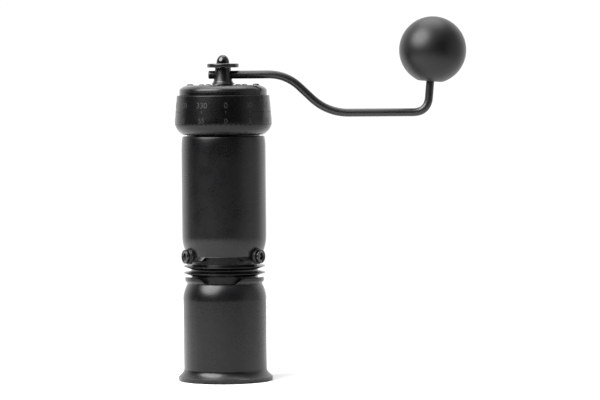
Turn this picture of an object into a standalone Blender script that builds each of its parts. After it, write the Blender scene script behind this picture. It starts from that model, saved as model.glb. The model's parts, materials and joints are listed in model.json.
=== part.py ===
"""Hand crank coffee grinder.

The grinder stands on its catch cup, with its axis on +Z and the crank arm towards +X. The origin is
the centre of the base pad, on the table. Heights are measured from the table. Run it with
blender --background --python part.py, or from the text editor.
"""

import math

import bmesh
import bpy
from mathutils import Matrix, Vector

MM = 0.001
GAP = 0.3 * MM  # between solids that touch in the real grinder
TRAVEL_GAP = 0.6 * MM  # between solids that the dial moves towards each other

BIG, MEDIUM, SMALL = 30, 20, 12  # facets round a shell, a burr or shaft, and a screw

# The grinder's width, which every turned piece follows
BODY_RADIUS = 25.25 * MM

# Catch cup
CUP_RADIUS, CUP_WALL, CUP_FLOOR = BODY_RADIUS - 0.25 * MM, 2.4 * MM, 2.4 * MM
PAD_RADIUS, PAD_THICKNESS = CUP_RADIUS, 2.1 * MM
FOOT_CLEARANCE = 0.5 * MM  # from the table to the metal foot
FOOT_FLARE, FOOT_EDGE_TOP, FLARE_TOP = 3.4 * MM, 2.4 * MM, 7.2 * MM
FOOT_RADIUS = CUP_RADIUS + FOOT_FLARE
FOOT_CHAMFER = 0.5 * MM
CUP_HEIGHT = 62.3 * MM  # to the top of its collar
CUP_SHOULDER = 10.0 * MM  # length of the rounded shoulder below the waist
CUP_CLOCKING = math.radians(-2.5)  # the cup can be put on at any angle

# Collars: the notched lips of the cup and of the body, either side of the fins
NECK_RADIUS = CUP_RADIUS - 5.0 * MM
LIP_RADIUS, WAIST_RADIUS = NECK_RADIUS + 3.7 * MM, NECK_RADIUS + 2.35 * MM
LIP_FACE, LIP_SLOPE = 2.2 * MM, 1.7 * MM
CUP_NOTCH_BOTTOM, CUP_NOTCH_TOP = 18.3 * MM, 25.2 * MM  # widths of the notch
BODY_LIP_FACE, BODY_LIP_SLOPE = 1.2 * MM, 2.2 * MM
BODY_NOTCH_TOP, BODY_NOTCH_BOTTOM = 21.2 * MM, 27.4 * MM

# Burr carrier: the neck between cup and body
NECK_DEPTH = 11.3 * MM  # length inside the cup
FIN_RADIUS, FIN_PITCH, FIN_EDGE = NECK_RADIUS + 4.4 * MM, 4.0 * MM, 0.3 * MM
FIN_BELOW, FIN_ABOVE = 1.8 * MM, 1.2 * MM  # slopes under and over a fin's edge
FIN_SPACE, FIN_TO_BODY = 0.8 * MM, 1.7 * MM
CARRIER_INSERT = 8.2 * MM  # length inside the body
RING_GROOVE, RING_WIDTH = 1.1 * MM, 1.6 * MM  # the groove of the cup's seal ring
RING_ABOVE_END = 3.6 * MM

# Burrs
BURR_RADIUS, BURR_HEIGHT = NECK_RADIUS - 3.4 * MM, 15.3 * MM
BURR_MOUTH, BURR_THROAT = BURR_RADIUS - 1.8 * MM, BURR_RADIUS - 7.6 * MM  # grinding cone, bottom and top
BURR_GAP = 0.65 * MM  # at the middle of the dial's range
BURR_TEETH, TOOTH_DEPTH = 24, 0.9 * MM
CONE_TOP = 3.3 * MM  # height of the inner burr above the outer one
LOCK_RING_HEIGHT = 2.4 * MM
BURR_SCREW_RADIUS = 1.9 * MM

# Spindle
SPINDLE_RADIUS = 3.7 * MM
HEX_CORNER = SPINDLE_RADIUS - 0.1 * MM
HEX_ABOVE_BEARING, HEX_TO_ROD = 2.7 * MM, 2.17 * MM  # the hexagon ends this far under the rod
BEARING_RADIUS, BEARING_WIDTH = SPINDLE_RADIUS + 4.3 * MM, 5.0 * MM
BEARING_BELOW_LUG = 1.7 * MM
RACE_WALL, BALL_RADIUS, BALL_COUNT = 1.1 * MM, 0.6 * MM, 8

# Body shell
BODY_HEIGHT = 75.1 * MM  # from the bottom of its collar to its top face
BODY_BORE = BODY_RADIUS - 2.95 * MM
BODY_SHOULDER, BODY_TOP_ROUND, BODY_TOP_DROP = 12.0 * MM, 10.0 * MM, 0.65 * MM
SPIGOT_RADIUS, SPIGOT_HEIGHT = BODY_BORE - 0.4 * MM, 23.0 * MM
SPIGOT_BORE = SPIGOT_RADIUS - 2.4 * MM
SNAP_DEPTH, SNAP_REACH, SNAP_LEDGE = 2.8 * MM, 2.1 * MM, 1.8 * MM  # the ring that holds the dial
BRIDGE_HEIGHT, BRIDGE_ARM, BRIDGE_LIFT = 4.0 * MM, 4.4 * MM, 2.4 * MM

# Adjusting dial
DIAL_RADIUS = SPIGOT_RADIUS + 7.17 * MM
DIAL_TOP_RADIUS, DIAL_BOTTOM_RADIUS = DIAL_RADIUS - 1.32 * MM, DIAL_RADIUS - 4.87 * MM
DIAL_HEIGHT, DIAL_ROUND = 23.6 * MM, 8.0 * MM
DIAL_LIFT = 0.9 * MM  # the shadow gap under the dial
DIAL_TRAVEL = 0.42 * MM  # each way, from the one-millimetre pitch of its thread
LUG_SIZE = (5.0 * MM, 5.0 * MM, 4.0 * MM)  # radial, across, high
LUG_ABOVE_BODY = 10.5 * MM

# Lid
LID_RADIUS, LID_HEIGHT = DIAL_RADIUS - 2.77 * MM, 5.8 * MM
LID_TOP_RADIUS = LID_RADIUS - 4.8 * MM
LID_SCREW_CIRCLE, LID_SCREW_RADIUS, LID_SCREW_DOME = LID_TOP_RADIUS - 1.5 * MM, 2.1 * MM, 0.7 * MM
PIP_CIRCLE, PIP_RADIUS = LID_SCREW_CIRCLE - 4.4 * MM, 1.9 * MM
LID_CLOCKING = math.radians(-6)

# Bolts round the collar
BOLT_HEAD, BOLT_HEAD_HEIGHT, BOLT_SHANK = 4.15 * MM, 1.7 * MM, 2.4 * MM
BOLT_SOCKET = 2.3 * MM
FERRULE_RADIUS, FERRULE_HEIGHT = 4.65 * MM, 2.2 * MM
BOLT_ABOVE_BODY = 3.4 * MM  # bolt axis above the bottom of the body

# Crank
ROD_RADIUS, ROD_ABOVE_LID, ROD_STUB = 2.43 * MM, 6.2 * MM, 8.7 * MM
ARM_REACH, ARM_DROP = 125.8 * MM, 23.4 * MM
KNOB_ABOVE_ROD, KNOB_RADIUS, KNOB_FLAT = 13.9 * MM, 20.1 * MM, 18.8 * MM
KNOB_LEAN = math.radians(4.8)
SLEEVE_WALL = 1.5 * MM
SOCKET_CORNER = HEX_CORNER + GAP + 0.15 * MM
HUB_RADIUS, HUB_ABOVE_ROD = ROD_RADIUS + 2.37 * MM, 1.57 * MM
HUB_FOOT_RADIUS = max(HUB_RADIUS + 0.9 * MM, SOCKET_CORNER + 1.75 * MM)
SLEEVE_RADIUS = SOCKET_CORNER + 1.9 * MM
SKIRT_RADIUS = SLEEVE_RADIUS + 0.95 * MM
LID_HOLE = SKIRT_RADIUS + GAP
FLANGE_RADIUS, FLANGE_THICKNESS = 9.5 * MM, 2.4 * MM
NOSE_RADIUS, NOSE_HEIGHT = 3.9 * MM, 5.0 * MM
STUD_RADIUS = 1.3 * MM

# Heights that follow from the sizes above
PAD_TOP = PAD_THICKNESS
CUP_INSIDE = PAD_TOP + GAP + CUP_FLOOR
CUP_WAIST = CUP_HEIGHT - LIP_FACE - LIP_SLOPE
MOUTH_RADIUS = NECK_RADIUS + GAP
CARRIER_BOTTOM = CUP_HEIGHT - NECK_DEPTH
FIN_ROOT = CUP_HEIGHT + FIN_SPACE
BODY_BOTTOM = FIN_ROOT + FIN_PITCH + FIN_BELOW + FIN_ABOVE + FIN_TO_BODY
BODY_WAIST = BODY_BOTTOM + BODY_LIP_FACE + BODY_LIP_SLOPE
BODY_TOP = BODY_BOTTOM + BODY_HEIGHT
BOLT_HEIGHT = BODY_BOTTOM + BOLT_ABOVE_BODY
CARRIER_TOP = BODY_BOTTOM + CARRIER_INSERT
LOCK_RING_BOTTOM = CARRIER_BOTTOM + GAP
BURR_BOTTOM = LOCK_RING_BOTTOM + LOCK_RING_HEIGHT + GAP
BURR_TOP = BURR_BOTTOM + BURR_HEIGHT
CONE_BOTTOM = BURR_BOTTOM + GAP
BRIDGE_SEAT = CARRIER_TOP + BRIDGE_LIFT
BUSH_BOTTOM, BUSH_HEIGHT = BRIDGE_SEAT - 0.7 * MM, 6.4 * MM
SPRING_BOTTOM, SPRING_HEIGHT = BUSH_BOTTOM + BUSH_HEIGHT + TRAVEL_GAP, 8.3 * MM
DIAL_BOTTOM = BODY_TOP + DIAL_LIFT
DIAL_TOP = DIAL_BOTTOM + DIAL_HEIGHT
SPIGOT_TOP = BODY_TOP + SPIGOT_HEIGHT
LUG_BOTTOM = BODY_TOP + LUG_ABOVE_BODY
BEARING_BOTTOM = LUG_BOTTOM - BEARING_BELOW_LUG
BEARING_TOP = BEARING_BOTTOM + BEARING_WIDTH
LID_BOTTOM = DIAL_TOP + GAP
LID_TOP = LID_BOTTOM + LID_HEIGHT
SNAP_BOTTOM = SPIGOT_TOP - SNAP_DEPTH
ROD_HEIGHT = LID_TOP + ROD_ABOVE_LID
KNOB_HEIGHT = ROD_HEIGHT + KNOB_ABOVE_ROD
HEX_BOTTOM = BEARING_TOP + HEX_ABOVE_BEARING
HEX_TOP = ROD_HEIGHT - ROD_RADIUS - HEX_TO_ROD
HUB_TOP = ROD_HEIGHT + ROD_RADIUS + HUB_ABOVE_ROD

THIRDS = [math.radians(angle) for angle in (-90, 30, 150)]  # notches and bridge arms
BOLT_ANGLES = [math.radians(angle) for angle in (-150, -30, 90)]  # midway between the notches


# Building blocks


def finish(name, colour, roughness, metallic):
    """A plain finish for a sub-part."""
    material = bpy.data.materials.new(name)
    material.use_nodes = True
    shader = material.node_tree.nodes["Principled BSDF"]
    shader.inputs["Base Color"].default_value = (*colour, 1.0)
    shader.inputs["Roughness"].default_value = roughness
    shader.inputs["Metallic"].default_value = metallic
    return material


def black_coat(name):
    return finish(name, (0.018, 0.018, 0.020), 0.55, 0.0)


def black_satin(name):
    return finish(name, (0.012, 0.012, 0.014), 0.32, 0.6)


def steel(name):
    return finish(name, (0.55, 0.56, 0.58), 0.28, 1.0)


def rubber(name):
    return finish(name, (0.02, 0.02, 0.02), 0.85, 0.0)


def brass(name):
    return finish(name, (0.72, 0.52, 0.24), 0.35, 1.0)


def add_object(name, mesh_data, material, group, location=(0, 0, 0)):
    """Turns a bmesh into an object of the group, with smooth shading that keeps sharp edges."""
    mesh = bpy.data.meshes.new(name)
    mesh_data.to_mesh(mesh)
    mesh_data.free()
    mesh.shade_smooth()
    mesh.set_sharp_from_angle(angle=math.radians(35))
    mesh.materials.append(material)
    obj = bpy.data.objects.new(name, mesh)
    obj.location = location
    obj.parent = group
    bpy.context.collection.objects.link(obj)
    return obj


def spun(profile, facets):
    """A bmesh turned round Z from (radius, height) points, open only where it meets the axis."""
    shape = bmesh.new()
    points = [shape.verts.new((radius, 0, height)) for radius, height in profile]
    edges = [shape.edges.new(pair) for pair in zip(points, points[1:])]
    if profile[0][0] > 0 or profile[-1][0] > 0:
        edges.append(shape.edges.new((points[-1], points[0])))
    turn = math.tau
    bmesh.ops.spin(shape, geom=points + edges, axis=(0, 0, 1), angle=turn, steps=facets)
    bmesh.ops.remove_doubles(shape, verts=shape.verts, dist=1e-6)
    bmesh.ops.recalc_face_normals(shape, faces=shape.faces)
    return shape


def turned(name, profile, facets, material, group):
    """A turned piece whose origin is on the grinder's axis, at its lowest point."""
    base = min(height for _, height in profile)
    local = [(radius, height - base) for radius, height in profile]
    return add_object(name, spun(local, facets), material, group, (0, 0, base))


def ring(name, inner, outer, bottom, top, facets, material, group):
    """A plain ring between two radii and two heights."""
    profile = [(inner, bottom), (outer, bottom), (outer, top), (inner, top)]
    return turned(name, profile, facets, material, group)


def loops_to_tube(sections):
    """Joins closed loops of equal count into one closed skin, the last loop back to the first."""
    shape = bmesh.new()
    rows = [[shape.verts.new(point) for point in section] for section in sections]
    count = len(rows[0])
    for row, following in zip(rows, rows[1:] + rows[:1]):
        for i in range(count):
            j = (i + 1) % count
            shape.faces.new((row[i], row[j], following[j], following[i]))
    bmesh.ops.recalc_face_normals(shape, faces=shape.faces)
    return shape


def toothed_loop(radius, depth, height, teeth, twist=0.0):
    """A loop whose points alternate between the tip and the root of each tooth."""
    loop = []
    for i in range(2 * teeth):
        angle = math.pi * i / teeth + twist
        reach = radius - depth * (i % 2)
        loop.append((reach * math.cos(angle), reach * math.sin(angle), height))
    return loop


def cutter(name, shape, group):
    """A helper that only cuts: it isn't a sub-part."""
    mesh = bpy.data.meshes.new(name)
    shape.to_mesh(mesh)
    shape.free()
    obj = bpy.data.objects.new(name, mesh)
    obj.hide_render = True
    obj.display_type = "WIRE"
    obj.parent = group
    bpy.context.collection.objects.link(obj)
    return obj


def cut(obj, tool):
    """Cuts the tool out of the object."""
    boolean = obj.modifiers.new(tool.name, "BOOLEAN")
    boolean.operation = "DIFFERENCE"
    boolean.solver = "EXACT"
    boolean.object = tool


def unite(obj, name, shape, group):
    """Joins a bmesh to the object."""
    union = obj.modifiers.new(name, "BOOLEAN")
    union.operation = "UNION"
    union.solver = "EXACT"
    union.object = cutter(name, shape, group)


def join_shapes(target, extra):
    """Adds one bmesh to another."""
    scratch = bpy.data.meshes.new("scratch")
    extra.to_mesh(scratch)
    extra.free()
    target.from_mesh(scratch)
    bpy.data.meshes.remove(scratch)


def cylinder(radius, start, end, facets):
    """A bmesh cylinder from one point to another."""
    shape = bmesh.new()
    start, end = Vector(start), Vector(end)
    along = end - start
    turn = along.to_track_quat("Z", "X").to_matrix().to_4x4()
    bmesh.ops.create_cone(
        shape,
        cap_ends=True,
        segments=facets,
        radius1=radius,
        radius2=radius,
        depth=along.length,
        matrix=Matrix.Translation((start + end) / 2) @ turn,
    )
    return shape


def radial(angle, radius, height=0.0):
    """The point at an angle, a radius and a height."""
    return Vector((radius * math.cos(angle), radius * math.sin(angle), height))


def radial_prism(angle, outline, inner, outer):
    """A bmesh prism that points outwards, from an outline of (across, height) points."""
    shape = bmesh.new()
    across = Vector((-math.sin(angle), math.cos(angle), 0))
    ends = [
        [shape.verts.new(radial(angle, reach, height) + across * side) for side, height in outline]
        for reach in (inner, outer)
    ]
    shape.faces.new(ends[0])
    shape.faces.new(ends[1])
    count = len(outline)
    for i in range(count):
        j = (i + 1) % count
        shape.faces.new((ends[0][i], ends[0][j], ends[1][j], ends[1][i]))
    bmesh.ops.recalc_face_normals(shape, faces=shape.faces)
    return shape


def radial_box(angle, inner, outer, width, bottom, top):
    """A bmesh block that points outwards."""
    half = width / 2
    return radial_prism(angle, [(-half, bottom), (half, bottom), (half, top), (-half, top)], inner, outer)


def curve_points(count, place):
    """Points of a rule, from 0 to 1 in equal steps."""
    return [place(i / count) for i in range(count + 1)]


# The catch cup


def make_cup(group):
    lip_under = CUP_HEIGHT - LIP_FACE
    shoulder_low = CUP_WAIST - CUP_SHOULDER
    inner = CUP_RADIUS - CUP_WALL
    flare = curve_points(
        3,
        lambda t: (
            FOOT_RADIUS + (CUP_RADIUS - FOOT_RADIUS) * math.sin(t * math.pi / 2) ** 0.9,
            FOOT_EDGE_TOP + (FLARE_TOP - FOOT_EDGE_TOP) * t,
        ),
    )
    drop = CUP_RADIUS - WAIST_RADIUS
    shoulder = curve_points(
        5, lambda t: (CUP_RADIUS - drop * t * t, shoulder_low + CUP_SHOULDER * t)
    )
    cone = CUP_HEIGHT - NECK_DEPTH + 2.5 * MM
    profile = [
        (0, PAD_TOP + GAP),
        (PAD_RADIUS + GAP, PAD_TOP + GAP),
        (PAD_RADIUS + GAP, FOOT_CLEARANCE),
        (FOOT_RADIUS - FOOT_CHAMFER, FOOT_CLEARANCE),
        (FOOT_RADIUS, FOOT_CLEARANCE + FOOT_CHAMFER),
        *flare,
        *shoulder,
        (LIP_RADIUS, lip_under),
        (LIP_RADIUS, CUP_HEIGHT - 0.4 * MM),
        (LIP_RADIUS - 0.4 * MM, CUP_HEIGHT),
        (MOUTH_RADIUS, CUP_HEIGHT),
        (MOUTH_RADIUS, cone),
        (inner, shoulder_low),
        (inner, CUP_INSIDE + 1.5 * MM),
        (inner - 1.5 * MM, CUP_INSIDE),
        (0, CUP_INSIDE),
    ]
    cup = turned("catch_cup", profile, BIG, black_coat("cup coat"), group)
    low, high = CUP_NOTCH_BOTTOM / 2, CUP_NOTCH_TOP / 2
    rise = (high - low) / (CUP_HEIGHT - CUP_WAIST)
    over = 1.0 * MM
    floor = CUP_WAIST + 0.2 * MM
    outline = [
        (-low, floor),
        (low, floor),
        (high + rise * over, CUP_HEIGHT + over),
        (-high - rise * over, CUP_HEIGHT + over),
    ]
    notches = bmesh.new()
    for angle in THIRDS:
        notch = radial_prism(angle + CUP_CLOCKING, outline, NECK_RADIUS - over, LIP_RADIUS + over)
        join_shapes(notches, notch)
    cut(cup, cutter("cup_notches", notches, group))
    ring("base_pad", 0, PAD_RADIUS, 0, PAD_THICKNESS, BIG, rubber("pad rubber"), group)


# The burr carrier and what it holds


def carrier_profile():
    outer = [
        (NECK_RADIUS - 0.6 * MM, CARRIER_BOTTOM),
        (NECK_RADIUS, CARRIER_BOTTOM + 0.6 * MM),
    ]
    groove = CARRIER_BOTTOM + RING_ABOVE_END
    outer += [
        (NECK_RADIUS, groove),
        (NECK_RADIUS - RING_GROOVE, groove),
        (NECK_RADIUS - RING_GROOVE, groove + RING_WIDTH),
        (NECK_RADIUS, groove + RING_WIDTH),
    ]
    for level in range(2):
        root = FIN_ROOT + level * FIN_PITCH
        edge = root + FIN_BELOW
        outer += [
            (NECK_RADIUS, root),
            (FIN_RADIUS, edge - FIN_EDGE / 2),
            (FIN_RADIUS, edge + FIN_EDGE / 2),
            (NECK_RADIUS, edge + FIN_ABOVE),
        ]
    throat = BURR_THROAT + 3.2 * MM
    seat = BURR_RADIUS + GAP
    inner = [
        (NECK_RADIUS, CARRIER_TOP),
        (NECK_RADIUS - 1.4 * MM, CARRIER_TOP),
        (throat, BURR_TOP + GAP + 2.0 * MM),
        (throat, BURR_TOP + GAP),
        (seat, BURR_TOP + GAP),
        (seat, CARRIER_BOTTOM),
    ]
    return outer + inner


def bolt_holes(group):
    holes = bmesh.new()
    for angle in BOLT_ANGLES:
        start = radial(angle, NECK_RADIUS - 3.9 * MM, BOLT_HEIGHT)
        end = radial(angle, BODY_RADIUS + 3 * MM, BOLT_HEIGHT)
        join_shapes(holes, cylinder(BOLT_SHANK + GAP, start, end, SMALL))
    return cutter("bolt_holes", holes, group)


def make_carrier(group, holes):
    carrier = turned("burr_carrier", carrier_profile(), BIG, black_coat("carrier coat"), group)
    cut(carrier, holes)
    groove = CARRIER_BOTTOM + RING_ABOVE_END
    clear = 0.2 * MM
    ring(
        "cup_seal_ring",
        NECK_RADIUS - RING_GROOVE + clear,
        NECK_RADIUS,
        groove + clear,
        groove + RING_WIDTH - clear,
        BIG,
        rubber("seal rubber"),
        group,
    )
    lock_profile = [
        (BURR_MOUTH - 0.2 * MM, LOCK_RING_BOTTOM),
        (BURR_RADIUS, LOCK_RING_BOTTOM),
        (BURR_RADIUS, LOCK_RING_BOTTOM + LOCK_RING_HEIGHT),
        (BURR_MOUTH + 0.4 * MM, LOCK_RING_BOTTOM + LOCK_RING_HEIGHT),
    ]
    turned("burr_lock_ring", lock_profile, MEDIUM, steel("lock ring steel"), group)


def cone_radius(height):
    """Radius of the outer burr's grinding cone at a height."""
    share = (height - BURR_BOTTOM) / BURR_HEIGHT
    return BURR_MOUTH + (BURR_THROAT - BURR_MOUTH) * share


def make_outer_burr(group):
    """Teeth stand inwards from the cone: their tips are at cone_radius."""
    wide = [toothed_loop(BURR_RADIUS, 0, height, BURR_TEETH) for height in (BURR_BOTTOM, BURR_TOP)]
    steps = 3
    cone = []
    for i in range(steps, -1, -1):
        height = BURR_BOTTOM + BURR_HEIGHT * i / steps
        root = cone_radius(height) + TOOTH_DEPTH
        cone.append(toothed_loop(root, TOOTH_DEPTH, height, BURR_TEETH, 0.12 * i))
    shape = loops_to_tube(wide + cone)
    add_object("outer_burr", shape, steel("outer burr steel"), group)


def make_inner_burr(group):
    """The burr's tooth tips stay BURR_GAP clear of the outer burr, and its crown breaks the beans."""
    bore = SPINDLE_RADIUS + GAP
    steps = 3
    teeth = 12
    cone = []
    for i in range(steps + 1):
        height = CONE_BOTTOM + (BURR_TOP - CONE_BOTTOM) * i / steps
        tip = cone_radius(height) - BURR_GAP
        cone.append(toothed_loop(tip, TOOTH_DEPTH * 1.4, height, teeth, -0.2 * i))
    crown = max(bore + 1.2 * MM, BURR_THROAT - 3.2 * MM)
    cone.append(toothed_loop(crown, 0, BURR_TOP + CONE_TOP, teeth, -0.2 * steps))
    hole = [toothed_loop(bore, 0, height, teeth) for height in (BURR_TOP + CONE_TOP, CONE_BOTTOM)]
    shape = loops_to_tube(cone + hole)
    add_object("inner_burr", shape, steel("inner burr steel"), group)


def make_burr_screw(group):
    washer_bottom = CONE_BOTTOM - GAP - 1.6 * MM
    shank = BURR_SCREW_RADIUS
    ring(
        "burr_washer",
        shank + GAP,
        SPINDLE_RADIUS + 5.3 * MM,
        washer_bottom,
        CONE_BOTTOM - GAP,
        MEDIUM,
        steel("burr washer steel"),
        group,
    )
    top = washer_bottom - GAP
    head = SPINDLE_RADIUS + 1.3 * MM
    profile = [
        (0, top - 1.2 * MM),
        (1.6 * MM, top - 1.2 * MM),
        (1.6 * MM, top - 3.2 * MM),
        (head, top - 3.2 * MM),
        (head, top),
        (shank, top),
        (shank, top + 8 * MM),
        (0, top + 8 * MM),
    ]
    turned("burr_screw", profile, SMALL, steel("burr screw steel"), group)


# The spindle and its bearings


def make_spindle(group):
    bottom = CONE_BOTTOM + GAP
    bore = BURR_SCREW_RADIUS + GAP
    bore_top = bottom + 7.5 * MM
    step = SPINDLE_RADIUS + 1.2 * MM
    clip = BEARING_TOP + 0.15 * MM
    groove = SPINDLE_RADIUS - 0.7 * MM
    profile = [
        (0, bore_top),
        (bore, bore_top),
        (bore, bottom),
        (SPINDLE_RADIUS, bottom),
        (SPINDLE_RADIUS, BEARING_BOTTOM - 3.8 * MM),
        (step, BEARING_BOTTOM - 3.8 * MM),
        (step, BEARING_BOTTOM - GAP),
        (SPINDLE_RADIUS, BEARING_BOTTOM - GAP),
        (SPINDLE_RADIUS, clip),
        (groove, clip),
        (groove, clip + 1.1 * MM),
        (SPINDLE_RADIUS, clip + 1.1 * MM),
        (SPINDLE_RADIUS, HEX_BOTTOM),
    ]
    shape = spun(profile + [(0, HEX_BOTTOM)], MEDIUM)
    hexagon = cylinder(HEX_CORNER, (0, 0, HEX_BOTTOM - 1 * MM), (0, 0, HEX_TOP), 6)
    spindle = add_object("spindle", shape, steel("spindle steel"), group)
    unite(spindle, "spindle_hexagon", hexagon, group)
    ring(
        "spindle_clip",
        groove + GAP,
        step,
        clip + 0.15 * MM,
        clip + 0.95 * MM,
        MEDIUM,
        steel("clip steel"),
        group,
    )
    collar = SPRING_BOTTOM + SPRING_HEIGHT + TRAVEL_GAP
    ring(
        "spring_collar",
        SPINDLE_RADIUS + GAP,
        SPINDLE_RADIUS + 3.5 * MM,
        collar,
        collar + 2.0 * MM,
        MEDIUM,
        steel("collar steel"),
        group,
    )


def make_bearing(spindle_group, carriage_group):
    inner = SPINDLE_RADIUS + GAP
    inner_outer = inner + RACE_WALL
    outer_inner = BEARING_RADIUS - RACE_WALL
    bottom, top = BEARING_BOTTOM, BEARING_TOP
    ring("inner_race", inner, inner_outer, bottom, top, MEDIUM, steel("inner race steel"), spindle_group)
    ring("outer_race", outer_inner, BEARING_RADIUS, bottom, top, MEDIUM, steel("race steel"), carriage_group)
    middle = (inner_outer + outer_inner) / 2
    centre = (bottom + top) / 2
    wall, half = 0.2 * MM, 1.4 * MM
    low, high = centre - half, centre + half
    cage = ring("ball_cage", middle - wall, middle + wall, low, high, MEDIUM, brass("cage"), spindle_group)
    balls = bmesh.new()
    for i in range(BALL_COUNT):
        place = Matrix.Translation(radial(math.tau * i / BALL_COUNT + 0.05, middle, centre))
        bmesh.ops.create_icosphere(balls, subdivisions=1, radius=BALL_RADIUS, matrix=place)
    unite(cage, "balls", balls, spindle_group)


def bridge_shape(hub_bore, hub_radius, hub_bottom, hub_top, arm_end, arm_bottom, arm_top):
    """A hub with three arms: the shapes to be united."""
    section = [(hub_bore, hub_bottom), (hub_radius, hub_bottom), (hub_radius, hub_top), (hub_bore, hub_top)]
    hub = spun(section, MEDIUM)
    arms = bmesh.new()
    for angle in THIRDS:
        start = hub_radius - 0.9 * MM
        join_shapes(arms, radial_box(angle, start, arm_end, BRIDGE_ARM, arm_bottom, arm_top))
    return hub, arms


def make_lower_bridge(group):
    """It holds the spindle's lower bush, under the hopper."""
    bush_inner = SPINDLE_RADIUS + GAP
    bush_outer = bush_inner + 1.4 * MM
    hub_outer = bush_outer + GAP + 2.2 * MM
    ring_outer = BODY_BORE - GAP
    ring_inner = ring_outer - 2.2 * MM
    top = BRIDGE_SEAT + BRIDGE_HEIGHT
    hub, arms = bridge_shape(
        bush_outer + GAP,
        hub_outer,
        BUSH_BOTTOM,
        BUSH_BOTTOM + BUSH_HEIGHT,
        ring_inner + 1.0 * MM,
        BRIDGE_SEAT + 0.3 * MM,
        top - 0.3 * MM,
    )
    bridge = add_object("lower_bridge", hub, black_satin("lower bridge coat"), group)
    unite(bridge, "lower_arms", arms, group)
    rim = [(ring_inner, BRIDGE_SEAT), (ring_outer, BRIDGE_SEAT), (ring_outer, top), (ring_inner, top)]
    unite(bridge, "lower_rim", spun(rim, BIG), group)
    ring(
        "spindle_bush",
        bush_inner,
        bush_outer,
        BUSH_BOTTOM,
        BUSH_BOTTOM + BUSH_HEIGHT,
        MEDIUM,
        brass("bush bronze"),
        group,
    )
    ring(
        "bridge_clip",
        ring_inner + 0.6 * MM,
        ring_outer,
        top + GAP,
        top + GAP + 1.0 * MM,
        BIG,
        steel("bridge clip steel"),
        group,
    )


def make_preload_spring(group):
    """A coil round the spindle that takes the play out of the dial's thread."""
    wire = 0.45 * MM
    turns, per_turn = 5, 10
    coil = SPINDLE_RADIUS + 1.9 * MM
    rise = SPRING_HEIGHT - 2 * wire
    line = bpy.data.curves.new("preload_spring", "CURVE")
    line.dimensions = "3D"
    line.bevel_depth = wire
    line.bevel_resolution = 1
    line.use_fill_caps = True
    spline = line.splines.new("POLY")
    spline.points.add(turns * per_turn)
    for i, point in enumerate(spline.points):
        share = i / (turns * per_turn)
        angle = math.tau * turns * share
        point.co = (coil * math.cos(angle), coil * math.sin(angle), wire + rise * share, 1)
    line.materials.append(steel("spring steel"))
    spring = bpy.data.objects.new("preload_spring", line)
    spring.location = (0, 0, SPRING_BOTTOM)
    spring.parent = group
    bpy.context.collection.objects.link(spring)


def make_carriage(group):
    """The bridge under the lid that carries the bearing: the dial's thread moves it up and down."""
    hub_bore = BEARING_RADIUS + GAP
    hub_outer = hub_bore + 2.2 * MM
    hub_bottom = BEARING_BOTTOM - GAP - 1.0 * MM
    hub_top = BEARING_TOP + 2.2 * MM
    radius_in, across, high = LUG_SIZE
    arm_end = SPIGOT_BORE - 2 * GAP
    hub, arms = bridge_shape(hub_bore, hub_outer, hub_bottom, hub_top, arm_end, LUG_BOTTOM, LUG_BOTTOM + high)
    bridge = add_object("top_bridge", hub, black_satin("top bridge coat"), group)
    unite(bridge, "top_arms", arms, group)
    lip = BEARING_RADIUS - RACE_WALL
    lip_profile = [
        (lip, hub_bottom),
        (hub_bore + 0.5 * MM, hub_bottom),
        (hub_bore + 0.5 * MM, BEARING_BOTTOM - GAP),
        (lip, BEARING_BOTTOM - GAP),
    ]
    unite(bridge, "bearing_lip", spun(lip_profile, MEDIUM), group)
    low = BEARING_TOP + GAP
    ring("bearing_clip", lip, BEARING_RADIUS, low, low + 0.9 * MM, MEDIUM, steel("bearing clip"), group)
    for number, angle in enumerate(THIRDS, 1):
        start = arm_end + GAP
        lug = radial_box(angle, start, start + radius_in, across, LUG_BOTTOM, LUG_BOTTOM + high)
        add_object(f"thread_lug_{number}", lug, brass(f"lug brass {number}"), group)


# The body shell


def body_profile():
    drop = BODY_RADIUS - WAIST_RADIUS
    shoulder = curve_points(
        5, lambda t: (WAIST_RADIUS + drop * (1 - (1 - t) ** 2), BODY_WAIST + BODY_SHOULDER * t)
    )
    round_low = BODY_TOP - BODY_TOP_ROUND
    crown = curve_points(
        3, lambda t: (BODY_RADIUS - BODY_TOP_DROP * t**3, round_low + BODY_TOP_ROUND * t)
    )
    groove = SPIGOT_RADIUS - 1.0 * MM
    return [
        (NECK_RADIUS + GAP, BODY_BOTTOM),
        (LIP_RADIUS - 0.3 * MM, BODY_BOTTOM),
        (LIP_RADIUS, BODY_BOTTOM + 0.3 * MM),
        (LIP_RADIUS, BODY_BOTTOM + BODY_LIP_FACE),
        *shoulder,
        *crown,
        (SPIGOT_RADIUS, BODY_TOP),
        (SPIGOT_RADIUS, SNAP_BOTTOM - 0.2 * MM),
        (groove, SNAP_BOTTOM - 0.2 * MM),
        (groove, SNAP_BOTTOM + 1.4 * MM),
        (SPIGOT_RADIUS, SNAP_BOTTOM + 1.4 * MM),
        (SPIGOT_RADIUS, SPIGOT_TOP),
        (SPIGOT_BORE, SPIGOT_TOP),
        (SPIGOT_BORE, BODY_TOP),
        (BODY_BORE, BODY_TOP - 3.5 * MM),
        (BODY_BORE, BRIDGE_SEAT - GAP),
        (NECK_RADIUS + GAP, CARRIER_TOP + GAP),
    ]


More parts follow.
